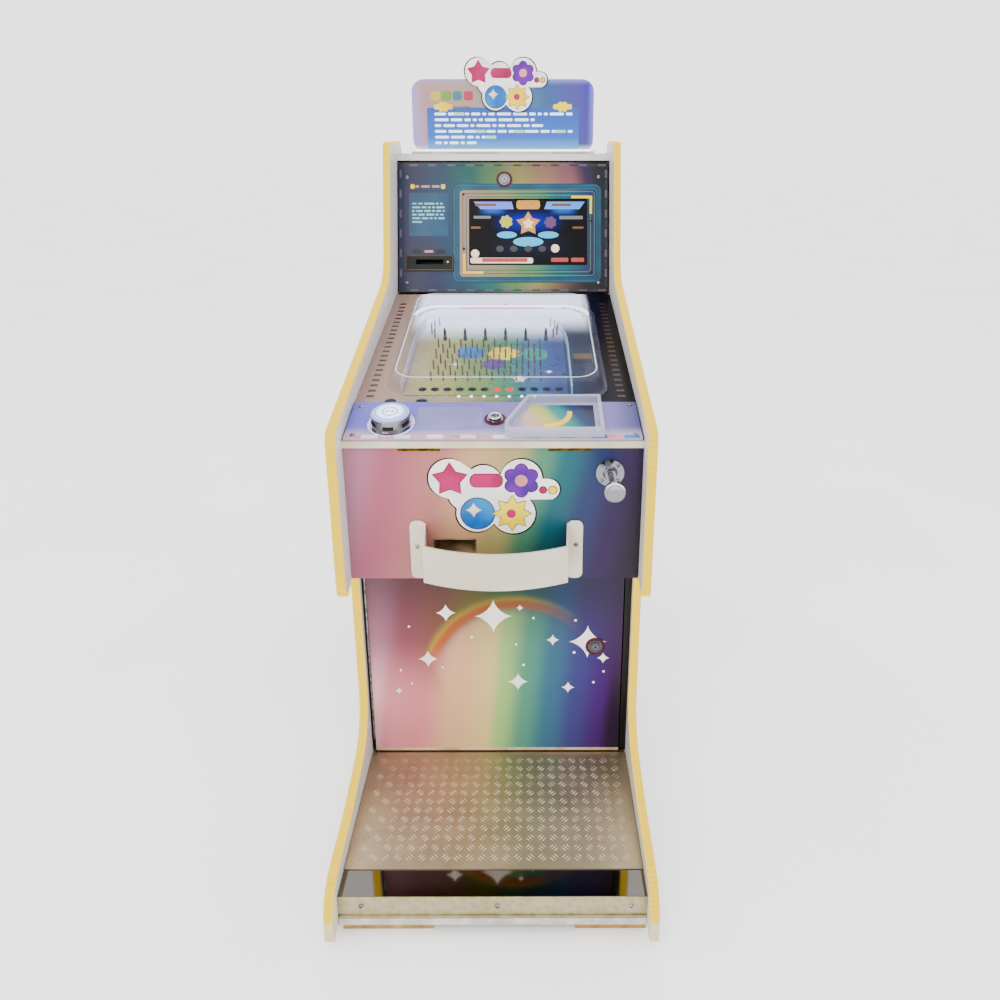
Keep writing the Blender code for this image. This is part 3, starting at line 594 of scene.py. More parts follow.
def shooter_looks():
    """The chrome housing, rod, spring and knob, with the housing's four screws."""
    finish(CHROME, "shooter_housing", edge=0.0015)
    finish(CHROME, "shooter_knob", edge=0.0022)
    finish(metal("rod_steel", "#b4b4b6", "#9a9b9e", 0.15, 0.30, (1, 0.05, 1)), "shooter_rod")
    finish(SCREW, "shooter_spring")
    centres = [SHOOTER + polar(0.0232, 45 + 90 * k) for k in range(4)]
    face = lifted(FRONT, 0.0050)
    screws("shooter_screws", "cabinet", face, centres, 0.0040, 0.0030)
    knob = Piece("shooter_knob_cap", "shooter", lifted(FRONT, 0.1041)).use(CHROME)
    knob.turned(SHOOTER, ((0.0150, 0.0), (0.0150, 0.0004), (0.0110, 0.0014), (0.0050, 0.0019)), 40).done()


INNER_SHAPES = (3, 7, 9)  # these lie on another shape, so they have no dark edge


def emblem(name, body, place, centre, width, low, high):
    """A generic emblem: a dark-edged white cloud that carries bright stars, marbles and bars."""
    piece = Piece(name, body, place)
    scale = width / 0.150
    cx, cy = centre

    def spot(x, y):
        return Vector((cx + x * scale, cy + y * scale))

    step = (high - low) / 4
    for material, grow, top in ((DARK, 0.0035, low + step), (WHITE_INK, 0.0, low + 2 * step)):
        piece.use(material)
        piece.slab(cloud(spot, scale, grow), low, top)
    shapes = (
        (PINK_INK, star(spot(-0.100, 0.038), 0.038 * scale, 0.021 * scale, 5)),
        (PINK_INK, rectangle(*spot(-0.058, 0.022), *spot(0.008, 0.050), 0.012 * scale)),
        (PURPLE_INK, lobed(spot(0.047, 0.036), 0.037 * scale, 6, 0.25)),
        (ROSE_INK, circle(spot(0.047, 0.036), 0.013 * scale)),
        (PINK_INK, circle(spot(0.092, 0.015), 0.007 * scale)),
        (YELLOW_INK, circle(spot(0.112, 0.015), 0.008 * scale)),
        (BLUE_INK, circle(spot(-0.044, -0.038), 0.035 * scale)),
        (CREAM_INK, sparkle(spot(-0.052, -0.030), 0.018 * scale)),
        (YELLOW_INK, star(spot(0.028, -0.038), 0.040 * scale, 0.025 * scale, 8)),
        (PINK_INK, circle(spot(0.026, -0.038), 0.010 * scale)),
    )
    for k, (material, outline) in enumerate(shapes):
        rise = 0.00012 * k
        if k not in INNER_SHAPES:
            piece.use(DARK).slab(grown(outline, 0.0016 * scale), low, low + 2.6 * step + rise)
        piece.use(material).slab(outline, low, high + rise, 0.0002)
    piece.done()


def cloud(spot, scale, grow):
    """The emblem's outer contour: round lumps joined into one outline."""
    lumps = (
        (-0.100, 0.040, 0.044), (-0.030, 0.034, 0.036), (0.047, 0.040, 0.043), (0.102, 0.016, 0.024),
        (0.030, -0.038, 0.046), (-0.046, -0.038, 0.042), (-0.070, 0.004, 0.034),
    )
    points = []
    for k in range(120):
        direction = polar(1.0, 3 * k)
        reach = 0.0
        for x, y, radius in lumps:
            centre = Vector((x, y))
            along = centre.dot(direction)
            off = (centre - along * direction).length
            if off < radius:
                reach = max(reach, along + math.sqrt(radius**2 - off**2))
        points.append(spot(*(direction * (reach + grow / scale))))
    return points


def leg():
    """The printed door with its arc, stars, hinge and lower lip, and painted shade over its upper part."""
    paint = Paint("door_print")
    x, y, z = paint.axes(DOOR)
    drift = paint.noise(2.0, DOOR)
    along = (x - (y - 0.35) * 0.10 + drift * 0.05) / DOOR_WIDTH + 0.46
    upper = paint.ramp(
        along,
        (0.00, "#b98a9c"), (0.12, "#a86a74"), (0.25, "#a06f62"), (0.38, "#928a50"), (0.50, "#5e8a62"),
        (0.62, "#3f7878"), (0.74, "#4a6a98"), (0.86, "#5a4a8a"), (1.00, "#57306c"),
    )
    lower = paint.ramp(
        along,
        (0.00, "#e6c0c8"), (0.08, "#da9da4"), (0.20, "#db989c"), (0.34, "#dcb69a"), (0.47, "#d8c49a"),
        (0.53, "#a8c88c"), (0.63, "#6fa38e"), (0.73, "#5b7f98"), (0.84, "#5b5a94"), (0.94, "#5f3f86"),
        (1.00, "#3e2452"),
    )
    hub, radius, width = Vector((0.044, 0.297)), 0.205, 0.046
    dx, dy = x - hub.x, y - hub.y
    reach = (dx * dx + dy * dy).op("SQRT")
    inside = paint.smooth(reach, radius + 0.035, radius - 0.045)
    below = paint.smooth(y, 0.420, 0.220)
    colour = paint.mix(inside.op("MAXIMUM", below), upper, lower)
    across = (reach - (radius - width / 2)) / width
    bands = paint.ramp(
        across,
        (0.00, "#8a6aa8"), (0.25, "#c8785a"), (0.50, "#d07a40"), (0.75, "#c8a83e"), (1.00, "#98a04a"),
    )
    ribbon = paint.smooth(abs(reach - radius), width * 0.62, width * 0.12)
    ends = paint.smooth(y, 0.335, 0.40) * paint.smooth(x, 0.21, 0.02)
    colour = paint.mix(ribbon * ends * 0.92, colour, bands)
    # Painted shade: the door darkens towards its top, where the box above shades it.
    painted_shade = paint.smooth(y, 0.30, 0.58) * 0.66
    colour = paint.mix(painted_shade, colour, "#1c1420")
    printed_board("service_door", paint, z, colour)
    door_stars()
    finish(SCREW, "door_hinge_fixed_leaf", "door_hinge_moving_leaf")
    low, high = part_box("service_door")
    strip = rectangle(low.x, low.z, high.x, low.z + 0.007, 0.001, 2)
    plastic = moulded("door_lip_plastic", "#d9c3ae", "#c4ab94")
    sheet("door_lip", "service_door", DOOR, plastic, strip, 0.0, 0.0016, 0.0004)


def door_stars():
    """White stars and dots scattered along the arc."""
    stars = (
        (-0.009, 0.467, 0.043), (-0.118, 0.476, 0.023), (-0.163, 0.353, 0.0226), (0.209, 0.399, 0.0437),
        (0.128, 0.404, 0.015), (0.246, 0.355, 0.0146), (0.047, 0.290, 0.0236), (0.165, 0.274, 0.0155),
        (0.052, 0.489, 0.0086), (-0.235, 0.265, 0.009),
    )
    dots = (
        (-0.060, 0.411, 0.0035), (0.083, 0.462, 0.0030), (0.180, 0.456, 0.0032), (0.043, 0.392, 0.0028),
        (0.060, 0.336, 0.0034), (-0.228, 0.322, 0.0028), (-0.204, 0.285, 0.0024), (0.225, 0.288, 0.0032),
        (0.248, 0.318, 0.0030), (-0.130, 0.330, 0.0026), (0.178, 0.370, 0.0034), (-0.204, 0.440, 0.0028),
    )
    piece = Piece("door_stars", "service_door", DOOR).use(WHITE_INK)
    for x, y, radius in stars:
        clear_of_lock = (Vector((x, y)) - DOOR_LOCK).length > radius + 0.02
        piece.slab(sparkle((x, y), radius), 0.0, 0.0004 if clear_of_lock else 0.0002)
    for x, y, radius in dots:
        piece.slab(circle((x, y), radius, 12), 0.0, 0.0004)
    piece.done()


def lock(prefix, body, place, centre):
    """A chrome cam lock on a maroon washer, with a keyhole that turns with the barrel."""
    finish(LOCK_CHROME, f"{prefix}_lock_body", f"{prefix}_lock_barrel", edge=0.0006)
    washer = Piece(f"{prefix}_lock_washer", body, place).use(MAROON)
    washer.ring(centre, 0.0228, 0.0170, 0.0003, 0.0022).done(bevel=0.0006)
    middle = place @ Matrix.Translation((*centre, 0))
    # The keyhole is a flat dark slot and circle: painted shade in the keyway.
    key = Piece(f"{prefix}_keyhole", f"{prefix}_lock_cam", middle).use(DARK)
    key.slab(rectangle(-0.0006, -0.0034, 0.0006, 0.0034, 0.0005, 2), 0.0050, 0.0057)
    key.slab(circle((0, 0.0006), 0.0016, 16), 0.0050, 0.0057)
    key.use(CHROME).ring((0, 0), 0.0060, 0.0048, 0.0052, 0.0060, 32).done()


# ---------------------------------------------------------------- base


def base():
    """The galvanised platform tray with its mirror strip, and the checker plate with its raised bars."""
    zinc = Paint("galvanised_sheet", Metallic=1.0)
    spangle = zinc.node("ShaderNodeTexVoronoi")
    spangle.inputs["Scale"].default_value = 70
    zinc.feed(spangle.inputs["Vector"], zinc.place())
    flakes = Value(zinc, spangle.outputs["Distance"])
    patches = flakes * 0.6 + zinc.noise(9) * 0.6
    shade = zinc.ramp(patches, (0.2, "#b4ac92"), (0.5, "#beb69a"), (0.8, "#c8c0a8"))
    zinc.set("Base Color", shade).set("Roughness", flakes * 0.25 + 0.26).bump(flakes, 0.0002, 0.15)
    finish(zinc.material, "platform_tray", edge=0.0012)
    low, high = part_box("platform_tray")
    plate_low, plate_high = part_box("checker_plate")
    polished = Paint("polished_strip", "#8f8c88", Metallic=1.0).worn(0.03, 0.07, 20)
    polished.grain(9, 0.0002, 0.02)
    strip = rectangle(low.x + 0.001, low.y + 0.004, high.x - 0.001, plate_low.y - 0.0006)
    level = Matrix.Identity(4)
    sheet("mirror_strip", "cabinet", level, polished.material, strip, high.z, high.z + 0.0008)
    plastic = moulded("lip_plastic", "#d2cdc6", "#bdb7ae")
    lip = rectangle(low.x, low.z, high.x, low.z + 0.016, 0.002, 2)
    sheet("platform_lip", "cabinet", front_of("platform_tray"), plastic, lip, 0.0, 0.0020, 0.0006)
    front = plane((0, low.y + 0.003, 0), 90)
    centres = [(-0.26, 0.066), (0.01, 0.066), (0.275, 0.066)]
    screws("platform_screws", "cabinet", front, centres, 0.0050, 0.0030)
    # Aluminium tinted warm tan: the tint is a painted reflection. The raised bars are a lighter copy of the
    # same metal: painted highlight on their tops.
    tread = Paint("checker_aluminium", Metallic=1.0).mottle("#cdc2ae", "#c3b8a4", 10).worn(0.44, 0.54, 30)
    tread.grain(260, 0.0002, 0.3)
    raised = metal("checker_raised", "#e4dac8", "#dacfbb", 0.22, 0.34)
    finish(tread.material, "checker_plate", edge=0.0006)
    checker_bars(raised, plate_low, plate_high)


def checker_bars(material, low, high):
    """Groups of three raised bars, turned the other way in every second group."""
    pitch, length, width, spread, rise = 0.0250, 0.0190, 0.0026, 0.0062, 0.0013
    piece = Piece("checker_bars", "cabinet", Matrix.Translation((0, 0, high.z - 0.0001))).use(material)
    columns = int((high.x - low.x - 0.02) / pitch)
    rows = int((high.y - low.y - 0.02) / pitch)
    for row in range(rows):
        for column in range(columns):
            x = (column - (columns - 1) / 2) * pitch
            y = (low.y + high.y) / 2 + (row - (rows - 1) / 2) * pitch
            lean = 45 if (row + column) % 2 else -45
            along, across = polar(1, lean), polar(1, lean + 90)
            for k in (-1, 0, 1):
                middle = Vector((x, y)) + across * spread * k
                reach = along * length * (0.42 if k else 0.5)
                side = across * width / 2
                foot = [middle - reach, middle - side, middle + reach, middle + side]
                ring = piece.loop(foot, 0.0)
                top = piece.loop([middle - reach * 0.55, middle + reach * 0.55], rise)
                piece.face((ring[0], ring[1], top[1], top[0]))
                piece.face((ring[1], ring[2], top[1]))
                piece.face((ring[2], ring[3], top[0], top[1]))
                piece.face((ring[3], ring[0], top[0]))
    piece.done(smooth_below=0)


# ---------------------------------------------------------------- console


def console():
    """The pearl console lid with its dashed border, button, lock, marble tray and hinges."""
    paint = Paint("console_print")
    x, y, _ = paint.axes(CONSOLE)
    along = x / LID_WIDTH + 0.5 + paint.noise(3, CONSOLE) * 0.06 - 0.03
    # The ramp's darker last stop at the far right is a painted shadow along the lid's right edge.
    colour = paint.ramp(
        along,
        (0.00, "#8480cc"), (0.15, "#807ed8"), (0.35, "#8a84c0"), (0.60, "#928ab8"), (0.85, "#988cc0"),
        (1.00, "#6868a0"),
    )
    colour = paint.mix(paint.smooth(y, 0.05, 0.0), colour, "#c2b6cc")
    paint.set("Base Color", colour).worn(0.20, 0.34, 10)
    finish(gloss_print(paint), "console_plate", edge=0.0006)
    border = Piece("console_dashes", "console_lid", CONSOLE)
    dashes = (ROSE_INK, CREAM_INK) * 5 + (ROSE_INK, TEAL_INK) * 2 + (ROSE_INK, BLUE_INK) * 2
    for k, colour_ink in enumerate(dashes):
        x0 = -0.300 + 0.0333 * k
        border.use(colour_ink).bar((x0, 0.0015, x0 + 0.0326, 0.0140), 0.0002)
    border.done()
    tint = ink("patch_ink", "#8f8cb8", "#9a96c0", 0.3)
    patch = rectangle(-0.162, 0.037, -0.025, 0.119, 0.002, 2)
    sheet("console_label_patch", "console_lid", CONSOLE, tint, patch, 0.0, 0.0002)
    centres = [(-0.287, 0.121), (-0.286, 0.013), (0.290, 0.128), (0.289, 0.013)]
    screws("console_screws", "console_lid", CONSOLE, centres, 0.0052, 0.0026)
    lock("console", "console_lid", CONSOLE, CONSOLE_LOCK)
    collar = Piece("console_lock_collar", "console_lid", CONSOLE).use(CHROME)
    collar.ring(CONSOLE_LOCK, 0.0140, 0.0085, 0.0022, 0.0105).done(bevel=0.001)
    leaves = [f"console_hinge_{side}_{leaf}" for side in ("left", "right") for leaf in ("fixed", "moving")]
    finish(metal("hinge_brass", "#8e7430", "#66521f", 0.28, 0.45), *leaves)
    start_button()
    marble_tray()


def start_button():
    """A lit drum: a chrome housing with dark windows, a blue-white top with rings, and a halo below."""
    finish(CHROME, "start_button_housing", edge=0.0010)
    top = Paint("button_lens", "#dfe8ff", 0.18, Emission_Strength=0.9)
    drum = CONSOLE @ Matrix.Translation((*BUTTON, 0))
    x, y, _ = top.axes(drum)
    reach = (x * x + y * y).op("SQRT") / 0.034
    glow = top.ramp(
        reach,
        (0.00, "#f6f8ff"), (0.38, "#dfe6ff"), (0.46, "#6f8fe0"), (0.54, "#e9efff"), (0.78, "#cfdcff"),
        (0.90, "#7f9cec"), (1.00, "#b9c8ff"),
    )
    top.set("Base Color", glow).set("Emission Color", glow).grain(500, 0.0001, 0.2)
    finish(top.material, "start_button_cap", edge=0.0030)
    marks = Piece("start_button_marks", "start_button", drum)
    marks.use(ink("button_blue", "#5468b8", "#6a7cc8"))
    for x0 in (-0.0085, 0.0015):
        marks.slab(rectangle(x0, -0.0018, x0 + 0.0070, 0.0018, 0.0008, 2), 0.0298, 0.0304)
    marks.done()
    halo = glowing("button_halo", "#b8c4ff", 1.6, "#ffffff")
    lit_ring = Piece("start_button_halo", "console_lid", drum).use(halo)
    lit_ring.ring((0, 0), 0.0485, 0.0472, 0.0, 0.0012, 64).done()
    windows = Piece("start_button_windows", "console_lid", drum)
    radius, low, high = 0.0412, 0.0085, 0.0160
    windows.use(DARK)
    for middle in range(-90, 270, 60):
        for k in range(-2, 2):
            edges = [polar(radius, middle + 8 * k), polar(radius, middle + 8 * (k + 1))]
            windows.face(windows.loop(edges, low) + windows.loop(edges[::-1], high))
    windows.done(smooth_below=60)


def clear_plastic(name, colour, alpha, roughness, scratch=0.10):
    """See-through plastic with a faint haze."""
    paint = Paint(name, colour, Alpha=alpha).set("Specular IOR Level", 0.8)
    paint.set("Roughness", paint.noise(35) * 0.10 + roughness)
    return paint.grain(30, 0.0001, scratch * 0.3).material


def marble_tray():
    """A clear moulded tray over a printed panel with a crescent."""
    finish(clear_plastic("tray_clear", "#c4c4d8", 0.50, 0.16), "marble_tray", edge=0.0012)
    paint = Paint("tray_print", roughness=0.3)
    x, y, _ = paint.axes(CONSOLE)
    along = (x - 0.032 + (y - 0.07) * 0.5) / 0.186
    colour = paint.ramp(
        along,
        (0.00, "#b0a0c0"), (0.20, "#cdb4a4"), (0.42, "#bcc080"), (0.60, "#4c9a98"), (0.82, "#2c4c80"),
        (1.00, "#202858"),
    )
    paint.set("Base Color", colour)
    panel = Piece("tray_print_panel", "console_lid", CONSOLE).use(gloss_print(paint))
    outline = path((0.040, 0.018), (0.210, 0.018), (0.210, 0.120), (0.078, 0.120), (0.040, 0.034))
    panel.slab(outline, 0.0037, 0.0039)
    outside = [Vector((0.112, 0.088)) + polar(0.052, -100 + 9 * k) for k in range(13)]
    inside_curve = [Vector((0.108, 0.094)) + polar(0.046, -94 + 8 * k) for k in range(12, -1, -1)]
    panel.use(YELLOW_INK).slab(outside + inside_curve, 0.0039, 0.0042).done()


# ---------------------------------------------------------------- playfield


def playfield():
    """The printed board, its pins and holes, the lit dots and the clear dome; a pale glow over the back of
    the board and pin plate is painted light, and the dome's bright rear rim is a painted highlight.
    """
    board = Paint("playfield_print")
    x, y, z = board.axes(DECK)
    along = x / BOX_WIDTH + 0.5 + board.noise(3, DECK) * 0.10 - 0.05
    shade = board.ramp(
        along,
        (0.00, "#a8948e"), (0.18, "#b3a092"), (0.34, "#b5aa84"), (0.48, "#94a072"), (0.58, "#5f8f80"),
        (0.70, "#4a7894"), (0.82, "#282350"), (1.00, "#120a20"),
    )
    # Painted light: the back of the board turns pale and glows, a bright pool of light under the dome's
    # rear.
    rear = board.smooth(y, 0.36, 0.50) * board.smooth(abs(x), 0.245, 0.215)
    shade = board.mix(rear, shade, "#e4eafa")
    face = board.smooth(z, -0.0030, -0.0012)
    printed_board("playfield_board", board, z, shade, high=0.42)
    board.set("Emission Color", shade).set("Emission Strength", rear * face * 0.9)
    board.set("Specular IOR Level", 0.05)
    plate = Paint("pin_plate")
    x, y, z = plate.axes(DECK)
    tint = plate.ramp(
        x / 0.365 + 0.56 + plate.noise(6, DECK) * 0.12,
        (0.00, "#b0a08c"), (0.25, "#b4b074"), (0.50, "#8aa858"), (0.66, "#4c9a6c"), (0.85, "#3c78a8"),
        (1.00, "#3c4c98"),
    )
    # Painted light: the back of the pin plate turns pale and glows like the board behind it.
    rear = plate.smooth(y, 0.30, 0.44)
    tint = plate.mix(rear, tint, "#e0e7f8")
    plate.set("Emission Color", tint).set("Emission Strength", rear * 0.9)
    pin = plate.smooth(z, 0.0027, 0.0030)
    plate.set("Base Color", plate.mix(pin, tint, "#8c7654")).set("Metallic", pin * 0.6)
    plate.grain(500, 0.0001, 0.2).worn(0.22, 0.36)
    finish(plate.material, "pin_plate")
    rails = clear_plastic("rail_clear", "#cfd8ee", 0.45, 0.08)
    finish(rails, "launch_lane_rail", "guide_rail", edge=0.0006)
    playfield_marks()
    pin_collars()
    scoring_cups()
    dome()


def playfield_marks():
    """Printed ladders beside the dome, dark discs by the console, and a small motif under the pins."""
    marks = Piece("playfield_ladders", "cabinet", DECK).use(ink("ladder_ink", "#54383a", "#5f4240"))
    for x0, x1 in ((-0.286, -0.269), (0.269, 0.286)):
        for k in range(22):
            y0 = 0.030 + 0.026 * k
            marks.bar((x0, y0, x1, y0 + 0.009), 0.0003)
    marks.done()
    discs = Piece("playfield_discs", "cabinet", DECK).use(DARK)
    for x, y in ((-0.229, 0.008), (-0.161, 0.008)):
        discs.slab(circle((x, y), 0.0130, 32), 0.0, 0.0012, 0.0005)
    discs.done()
    motif = Piece("pin_plate_motif", "cabinet", lifted(DECK, 0.0025))
    shapes = (
        (BLUE_INK, lobed((-0.068, 0.255), 0.038, 6, 0.2)),
        (YELLOW_INK, lobed((0.012, 0.250), 0.040, 7, 0.2)),
        (TEAL_INK, circle((0.085, 0.245), 0.034)),
        (PURPLE_INK, lobed((-0.010, 0.190), 0.030, 6, 0.2)),
        (CREAM_INK, star((0.052, 0.112), 0.018, 0.010, 5)),
        (WHITE_INK, sparkle((-0.100, 0.190), 0.012)),
        (WHITE_INK, sparkle((0.120, 0.150), 0.010)),
    )
    for material, outline in shapes:
        motif.use(material).slab(outline, 0.0, 0.0002)
    motif.done()


def pin_collars():
    """Smoky plastic posts behind the pins, each with a narrow waist and a tip."""
    posts = Piece("target_posts", "cabinet", lifted(DECK, 0.0026))
    smoke = moulded("post_plastic", "#5a564c", "#3f3c36", 0.2, 0.35)
    foot = ((0.0050, 0.0), (0.0050, 0.006), (0.0034, 0.011))
    head = ((0.0040, 0.020), (0.0026, 0.029), (0.0008, 0.0345))
    for k in range(6):
        posts.use(smoke).turned((-0.138 + 0.0508 * k, 0.330), foot + head, 14)
    posts.done()


def scoring_cups():
    """A shallow cup in each scoring hole, two of them lit, and a row of lit dots in front of them."""
    cup = moulded("cup_plastic", "#4a1f1c", "#2e1414", 0.3, 0.5)
    lit = glowing("cup_lit", "#e02838", 1.6, "#ff8a50")
    white = glowing("dot_lit", "#ffffff", 2.4, "#e8f0ff")
    off = moulded("dot_unlit", "#b9b9bb", "#a5a5aa", 0.25, 0.4)
    cups = Piece("scoring_cups", "cabinet", DECK)
    dots = Piece("score_dots", "cabinet", DECK)
    wall = ((0.0060, -0.0160), (0.0096, -0.0150), (0.0096, 0.0022), (0.0088, 0.0024), (0.0060, -0.0140))
    for k, hole in enumerate(HOLES):
        cups.use(lit if k in (6, 7) else cup).turned(hole, wall, 24)
        dots.use(white if 2 < k < 10 else off)
        dots.turned((hole[0], 0.031), ((0.0036, 0.0006), (0.0036, 0.0016), (0.0020, 0.0026)), 16)
    cups.done()
    dots.done()


def dome():
    """The clear cover's own material, a painted highlight along its rear rim, a pale line for its bright
    top edge, and a small screw behind it.
    """
    finish(clear_plastic("dome_clear", "#a0a8bc", 0.07, 0.05, 0.05), "dome_cover")
    # Painted highlight: the glowing bands and coloured dashes along the back are the bright rear rim of the
    # clear dome.
    rim = glowing("rim_painted_highlight", "#f2f8ff", 1.5, "#ffffff")
    soft = glowing("rim_painted_highlight_soft", "#dfe8ff", 0.7, "#f4f8ff")
    back = [p for p in rectangle(-0.232, 0.03, 0.232, 0.551, 0.062, 8) if p.y > 0.440]
    ridge = Piece("dome_rim_painted_highlight", "cabinet", lifted(DECK, 0.0040))
    ridge.use(rim)
    ribbon(ridge, back, 0.0060, 0.0, 0.0040)
    ridge.use(soft)
    soft_path = [Vector((p.x * 0.955, p.y - 0.014)) for p in back]
    ribbon(ridge, soft_path, 0.0110, 0.0, 0.0012)
    tones = (("rose", "#e8a0b0"), ("cream", "#f0e0b0"), ("mint", "#a0e0c8"), ("sky", "#90b8f0"))
    for k, (start, end) in enumerate(zip(soft_path, soft_path[1:])):
        tone, colour = tones[k % 4]
        ridge.use(glowing(f"rim_painted_highlight_dash_{tone}", colour, 0.6) if k < 4 else ridge.materials[2 + k % 4])
        ribbon(ridge, [start.lerp(end, 0.15), start.lerp(end, 0.85)], 0.0090, 0.0012, 0.0016)
    ridge.done()
    # A pale line along the dome's top edge: painted highlight where the edge catches the light.
    edge = clear_plastic("dome_edge", "#f4f6ff", 0.35, 0.10, 0.05)
    lip = Piece("dome_edge_line", "cabinet", lifted(DECK, 0.0453)).use(edge)
    outline = rectangle(-0.226, 0.036, 0.226, 0.546, 0.050, 8)
    lip.edged(outline, 0.0030, 0.0005).done()
    screws("dome_screw", "cabinet", lifted(DECK, 0.0038), [(0.009, 0.566)], 0.0040, 0.0026)


def ribbon(piece, line, width, low, high):
    """A flat band that follows an open line of points."""
    left, right = [], []
    for k, point in enumerate(line):
        before, after = line[max(k - 1, 0)], line[min(k + 1, len(line) - 1)]
        along = (after - before).normalized()
        side = Vector((along.y, -along.x)) * width / 2
        left.append(point - side)
        right.append(point + side)
    piece.slab(right + left[::-1], low, high)


# ---------------------------------------------------------------- header


def header():
    """The printed header panel with a painted diagonal shadow on its right and painted shade along its top:
    frame lines, rules panel, lit screen, card reader and lock.
    """
    paint = Paint("header_print")
    x, y, z = paint.axes(HEADER)
    along = x / LID_WIDTH + 0.5 + (y - 0.18) * 0.30 + paint.noise(3, HEADER) * 0.06 - 0.03
    shade = paint.ramp(
        along,
        (0.00, "#45436a"), (0.12, "#38406c"), (0.24, "#285878"), (0.38, "#3d7a78"), (0.50, "#6f9468"),
        (0.62, "#a59c70"), (0.74, "#a88a76"), (0.86, "#a2747c"), (0.95, "#4a3a6c"), (1.00, "#1c1a3c"),
    )
    # Painted shadow: the right side beyond a diagonal line is darkened as a cast shadow.
    shade = paint.mix(paint.smooth(x - y * 0.9, 0.03, 0.24), shade, "#20182c")
    # Painted shade: the top of the panel is darkened where it lies in shade.
    shade = paint.mix(paint.smooth(y, 0.26, 0.37) * 0.35, shade, "#1c1828")
    printed_board("header_panel", paint, z, shade)
    centres = [(-0.278, 0.331), (0.276, 0.333), (-0.280, 0.027), (0.276, 0.027)]
    screws("header_screws", "header_door", HEADER, centres, 0.0052, 0.0026)
    lock("header", "header_door", HEADER, HEADER_LOCK)
    header_frame()
    header_dashes()
    rules_panel()
    card_reader()
    screen()


def header_frame():
    """The teal surround of the screen and its fine outlines."""
    teal = ink("frame_teal", "#1f6a86", "#2a7a92", 0.3)
    navy = ink("frame_navy", "#143a56", "#1a4664", 0.3)
    sand = ink("frame_sand", "#a3907c", "#8fa07c", 0.3)
    piece = Piece("screen_surround", "header_door", HEADER)
    steps = (
        (navy, -0.147, 0.028, 0.284, 0.313, 0.020, 0.0020),
        (teal, -0.145, 0.030, 0.282, 0.311, 0.018, 0.0070),
        (navy, -0.138, 0.037, 0.275, 0.304, 0.014, 0.0016),
        (teal, -0.1365, 0.0385, 0.2735, 0.3025, 0.013, 0.0070),
    )
    for material, x0, y0, x1, y1, radius, width in steps:
        outline = rectangle(x0, y0, x1, y1, radius, 5)
        piece.use(material).edged(outline, width, 0.0005)
    piece.done()
    face = lifted(HEADER, 0.0055)
    bezel = Paint("bezel_print", roughness=0.25)
    tone = bezel.ramp(
        (bezel.axes(HEADER)[0] + 0.126) / 0.392,
        (0.00, "#a8968c"), (0.30, "#9a9a7c"), (0.50, "#6f9a74"), (0.75, "#3f7a84"), (1.00, "#3a4a80"),
    )
    bezel.set("Base Color", tone)
    finish(gloss_print(bezel), "screen_bezel", edge=0.0010)
    lines = Piece("bezel_lines", "header_door", face)
    for inset, material in ((0.0030, sand), (0.0085, navy), (0.0140, sand), (0.0185, navy)):
        outline = rectangle(-0.126 + inset, 0.044 + inset, 0.266 - inset, 0.293 - inset, 0.008, 5)
        lines.use(material).edged(outline, 0.0013, 0.0003)
    lines.use(YELLOW_INK)
    upper = path(
        (0.196, 0.277), (0.256, 0.277), (0.256, 0.226), (0.249, 0.226), (0.249, 0.270), (0.196, 0.270)
    )
    lower = path(
        (-0.117, 0.112), (-0.117, 0.053), (-0.058, 0.053), (-0.058, 0.060), (-0.109, 0.060), (-0.109, 0.112)
    )
    for elbow in (upper, lower):
        lines.slab(elbow, 0.0, 0.0006)
    lines.use(DARK)
    for centre in ((-0.115, 0.281), (0.254, 0.205), (-0.114, 0.125), (0.254, 0.057)):
        lines.slab(circle(centre, 0.0038, 16), 0.0, 0.0008)
    lines.done()


def header_dashes():
    """A dashed strip along the panel's edges."""
    piece = Piece("header_dashes", "header_door", HEADER)
    inks = ink("dash_deep", "#3f5a5c", "#3a4c64"), ink("dash_light", "#7c7686", "#6f6c7c")
    for k in range(22):
        x0 = -0.298 + 0.0272 * k
        for y0, y1 in ((0.0040, 0.0085), (0.3635, 0.3685)):
            piece.use(inks[k % 2]).bar((x0, y0, x0 + 0.0235, y1), 0.0003)
    for k in range(12):
        y0 = 0.016 + 0.0285 * k
        for x0 in (-0.2995, 0.2935):
            piece.use(inks[k % 2]).bar((x0, y0, x0 + 0.0060, y0 + 0.0235), 0.0003)
    piece.done()


def greeked(piece, x0, x1, y, height, seed, short=1.0, low=0.0004, high=0.0007):
    """A line of plain rounded bars of mixed lengths that stands for printed rules."""
    x, k = x0, seed
    end = x0 + (x1 - x0) * short
    while x < end - height:
        k = (k * 37 + 11) % 101
        length = min(height * (1.6 + k % 5), end - x)
        piece.slab(rectangle(x, y, x + length, y + height, height * 0.4, 2), low, high)
        x += length + height * 0.8


def rules_panel():
    """A teal panel with rows of bars where the rules are printed."""
    panel = Piece("rules_panel", "header_door", HEADER)
    panel.use(ink("rules_teal", "#1d5f84", "#236a8c", 0.3))
    panel.bar((-0.273, 0.162, -0.160, 0.287, 0.003, 2), 0.0004)
    panel.use(ink("rules_pale", "#8fc0cc", "#a4ccd4"))
    for k, short in enumerate((0.95, 1.0, 1.0, 0.96, 1.0, 0.40)):
        greeked(panel, -0.264, -0.169, 0.253 - 0.0105 * k, 0.0052, 3 + k, short)
    panel.use(YELLOW_INK)
    for sign in (-1, 1):
        x = -0.218 + sign * 0.044
        panel.bar((x - 0.006, 0.298, x + 0.006, 0.3115, 0.003, 2), 0.0006)
    panel.use(ROSE_INK)
    greeked(panel, -0.254, -0.184, 0.3015, 0.0070, 5)
    panel.done()


